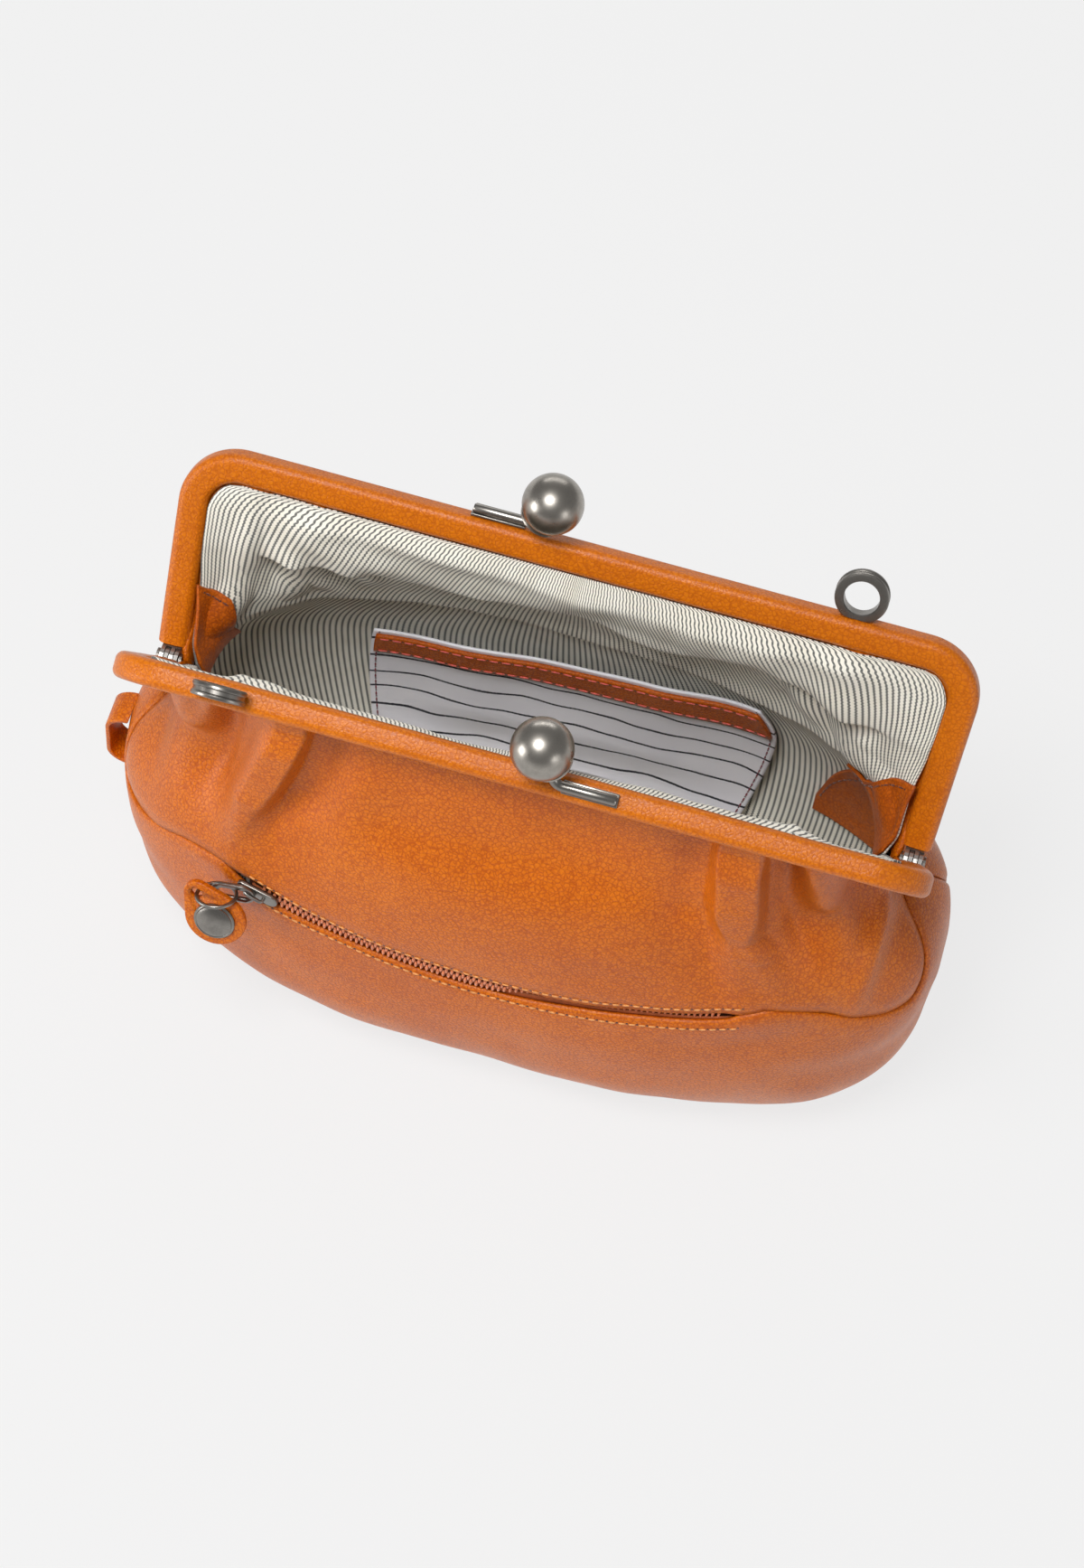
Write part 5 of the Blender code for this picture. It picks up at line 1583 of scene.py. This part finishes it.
wire_shape = bmesh.new()
bmesh.ops.create_circle(wire_shape, segments=14, radius=pull_ring_wire,
                        matrix=Matrix.Translation((pull_ring_radius, 0.0, 0.0)) @ upright)
bmesh.ops.spin(wire_shape, geom=wire_shape.verts[:] + wire_shape.edges[:], cent=(0, 0, 0), axis=(0, 0, 1),
               angle=math.tau, steps=56, use_merge=True)
bmesh.ops.remove_doubles(wire_shape, verts=wire_shape.verts[:], dist=merge_distance)
wire_place = ring_place @ Matrix.Translation(ring_middle - link_end) @ ring_turned @ upright
settle(new_piece("wire_ring", wire_shape, gunmetal, place=wire_place), "pull_ring", "nickel", "pull_ring")

# %% Leather tab and rivet
tab_eye = 0.0022
tab_shape = bmesh.new()
far_radius = tab_width / 2
rivet_x = tab_length - tab_hole_inset - far_radius
plate(tab_shape, two_circles(tab_hole_inset, far_radius, rivet_x, 26), tab_thickness, 0.0007, segments=4)
tab = new_piece("tab_leather", tab_shape, tan_leather)
eye_shape = bmesh.new()
bmesh.ops.create_cone(eye_shape, cap_ends=True, segments=28, radius1=tab_eye, radius2=tab_eye,
                      depth=tab_thickness * 3, matrix=upright)
cut_out(tab, eye_shape)
tab.data.transform(tab_place)
settle(tab, "pull_tab", "leather", "pull_tab")

rivet_shape = bmesh.new()
face_y = tab_thickness / 2 + touch_gap
rivet_profile = [(0.0, -face_y - 0.0008), (0.0026, -face_y - 0.0008), (0.0030, -face_y - 0.0005),
                 (0.0030, -face_y), (0.0014, -face_y), (0.0014, face_y), (rivet_radius, face_y),
                 (rivet_radius, face_y + 0.0005)]
for step in range(1, 5):
    angle = math.pi / 2 * step / 4
    rivet_profile.append((rivet_radius - 0.0008 * math.sin(angle),
                          face_y + 0.0005 + 0.0007 * (1 - math.cos(angle))))
for step in range(13):
    share = 1 - step / 12
    rivet_profile.append(((rivet_radius - 0.0010) * share,
                          face_y + 0.0011 + 0.0013 * (1 - share ** 2) ** 0.8))
spun(rivet_shape, rivet_profile, 56, tab_place @ Matrix.Translation((rivet_x, 0.0, 0.0)) @ upright)
settle(new_piece("rivet_cap", rivet_shape, gunmetal, sharp=metal_edge), "pull_tab", "nickel", "pull_rivet")

# %% [markdown]
# ## Side loop
# A short leather strap is bent to a flat loop and caught in the seam at the left end. Bending a flat
# strip with a modifier would leave its ends off the leather. So the strap's edge is drawn first, with
# the wall's own curve in it, and then extruded across and rounded.


# %% Side loop
def side_loop():
    """The strap's edge as pairs of points, extruded to its width."""
    middle = hinge_height - 0.046
    stand_off, strap, height, width, forward = 0.0055, 0.0016, 0.027, 0.012, 0.004
    bend = stand_off + strap / 2
    half = height / 2
    path = []
    for turn_z, start in ((half - bend, math.pi / 2), (bend - half, 0.0)):
        for step in range(11):
            angle = start - math.pi / 2 * step / 10
            path.append((math.cos(angle), math.sin(angle), turn_z))
    shape = bmesh.new()
    rows = []
    for cosine, sine, turn_z in path:
        row = []
        for radius in (bend - strap / 2, bend + strap / 2):
            out, up = radius * cosine, turn_z + radius * sine
            wall_x = body_point(-1.0, level_at(round(middle + up, 6)), -1, 0.0).x
            row.append(shape.verts.new((wall_x - touch_gap - out + 0.0004, -forward - width / 2,
                                        middle + up)))
        rows.append(row)
    for low, high in zip(rows, rows[1:]):
        shape.faces.new((low[0], low[1], high[1], high[0]))
    grown = bmesh.ops.extrude_face_region(shape, geom=shape.faces[:], use_keep_orig=True)["geom"]
    bmesh.ops.translate(shape, vec=(0.0, width, 0.0), verts=made_verts(grown))
    bmesh.ops.recalc_face_normals(shape, faces=shape.faces[:])
    rims = [edge for edge in shape.edges if edge.is_manifold and edge.calc_face_angle() > math.radians(60)]
    bmesh.ops.bevel(shape, geom=rims, offset=0.0004, affect='EDGES', segments=2, profile=0.5, material=-1)
    return new_piece("side_loop_leather", shape, tan_leather)


settle(side_loop(), "bag", "leather", "side_loop")

# %% [markdown]
# ## Stitches
# Thread gives a leather bag its scale. A bump texture could draw the stitches, but they would vanish
# in the exported mesh. So each row is a line of small flat beads, with a dark disc of painted shade
# for the hole between each two.
# They lie on the dressed surface, found with a search tree, because the folds have moved the leather
# away from its formula.


# %% Stitch rows
stitch_lift = 0.5


def stitch_row(name, cloth_name, points, sizes, material, slot, half=None):
    """Stitches along a line on a cloth, with painted shade in the holes. sizes are the pitch and a stitch's
    length and radius.

    half is given for rows on a cloth that is not with the bag; such a row stays where it is made instead of
    riding on the bag.
    """
    tree = surfaces[cloth_name]
    pitch, length, radius = sizes
    distances = [0.0]
    for low, high in zip(points, points[1:]):
        distances.append(distances[-1] + (high - low).length)
    total = distances[-1]
    count = max(int(total / pitch), 1)

    def walk(distance):
        index = 1
        while index < len(points) - 1 and distances[index] < distance:
            index += 1
        span = max(distances[index] - distances[index - 1], 1e-9)
        return points[index - 1].lerp(points[index], (distance - distances[index - 1]) / span)

    shape = bmesh.new()
    for number in range(count):
        middle = (number + 0.5) * total / count
        here, normal, _, _ = tree.find_nearest(walk(middle))
        ahead, _, _, _ = tree.find_nearest(walk(middle + length / 2))
        behind, _, _, _ = tree.find_nearest(walk(middle - length / 2))
        run = (ahead - behind).normalized()
        side = normal.cross(run).normalized()
        turn = facing_along(run, side, run.cross(side))
        bmesh.ops.create_uvsphere(shape, u_segments=6, v_segments=5, radius=1.0,
                                  matrix=Matrix.Translation(here + normal * radius * stitch_lift) @ turn
                                  @ Matrix.Diagonal((length / 2, radius, radius * 0.8, 1.0)))
        # The flat dark disc in each gap is painted shade for the stitch hole.
        known = len(shape.faces)
        gap_end, _, _, _ = tree.find_nearest(walk(middle + total / count / 2))
        bmesh.ops.create_icosphere(shape, subdivisions=1, radius=1.0,
                                   matrix=Matrix.Translation(gap_end) @ turn
                                   @ Matrix.Diagonal((radius * 1.2, radius * 1.2, radius * 0.4, 1.0)))
        shape.faces.ensure_lookup_table()
        for face in shape.faces[known:]:
            face.material_index = 1
    piece = new_piece(name, shape, material)
    piece.data.materials.append(painted_hole_shade)
    if half:
        bent_between(piece, half, slot)
    else:
        settle(piece, "bag", slot)


def slot_line(offset, reach=0.084, steps=120):
    """Line beside the zip's slot, the same reach to both sides of its middle."""
    return [on_zip(zip_centre - reach + 2 * reach * step / steps, offset, 0.0) for step in range(steps + 1)]


for edge, cloth_name, offset in (("upper", "front_leather", slot_half + 0.0017),
                                 ("lower", "gusset_leather", -slot_half - 0.0021)):
    stitch_row(f"slot_stitches_{edge}", cloth_name, slot_line(offset), (0.0033, 0.0025, 0.00040), tan_thread,
               "leather")


def facing_line(outline, steps=80):
    """Line a little below a facing's top edge."""
    line = []
    for step in range(steps + 1):
        across = -0.97 + 1.93 * step / steps
        place, level = outline(across, 1.0)
        low_level = outline(across, -1.0)[1]
        line.append(lining_point(place, max(level - 0.035, low_level), 1, facing_depth))
    return line


for side_name, outline in (("right", right_outline), ("left", left_outline)):
    stitch_row(f"{side_name}_facing_stitches", f"{side_name}_facing_leather", facing_line(outline),
               (0.0036, 0.0026, 0.00034), dark_thread, "leather", "back_frame")

for edge, up in (("upper", 0.72), ("lower", -0.72)):
    stitch_row(f"band_stitches_{edge}", "pocket_band",
               [band_surface(-0.985 + 1.97 * step / 90, up) for step in range(91)],
               (0.0042, 0.0036, 0.00036), coral_thread, "leather")

for side_name, across in (("left", -0.972), ("right", 0.972)):
    stitch_row(f"pocket_stitches_{side_name}", "slip_pocket",
               [pocket_surface(across, -0.98 + 1.95 * step / 60) for step in range(61)],
               (0.0036, 0.0028, 0.00034), wine_thread, "pocket_cloth")
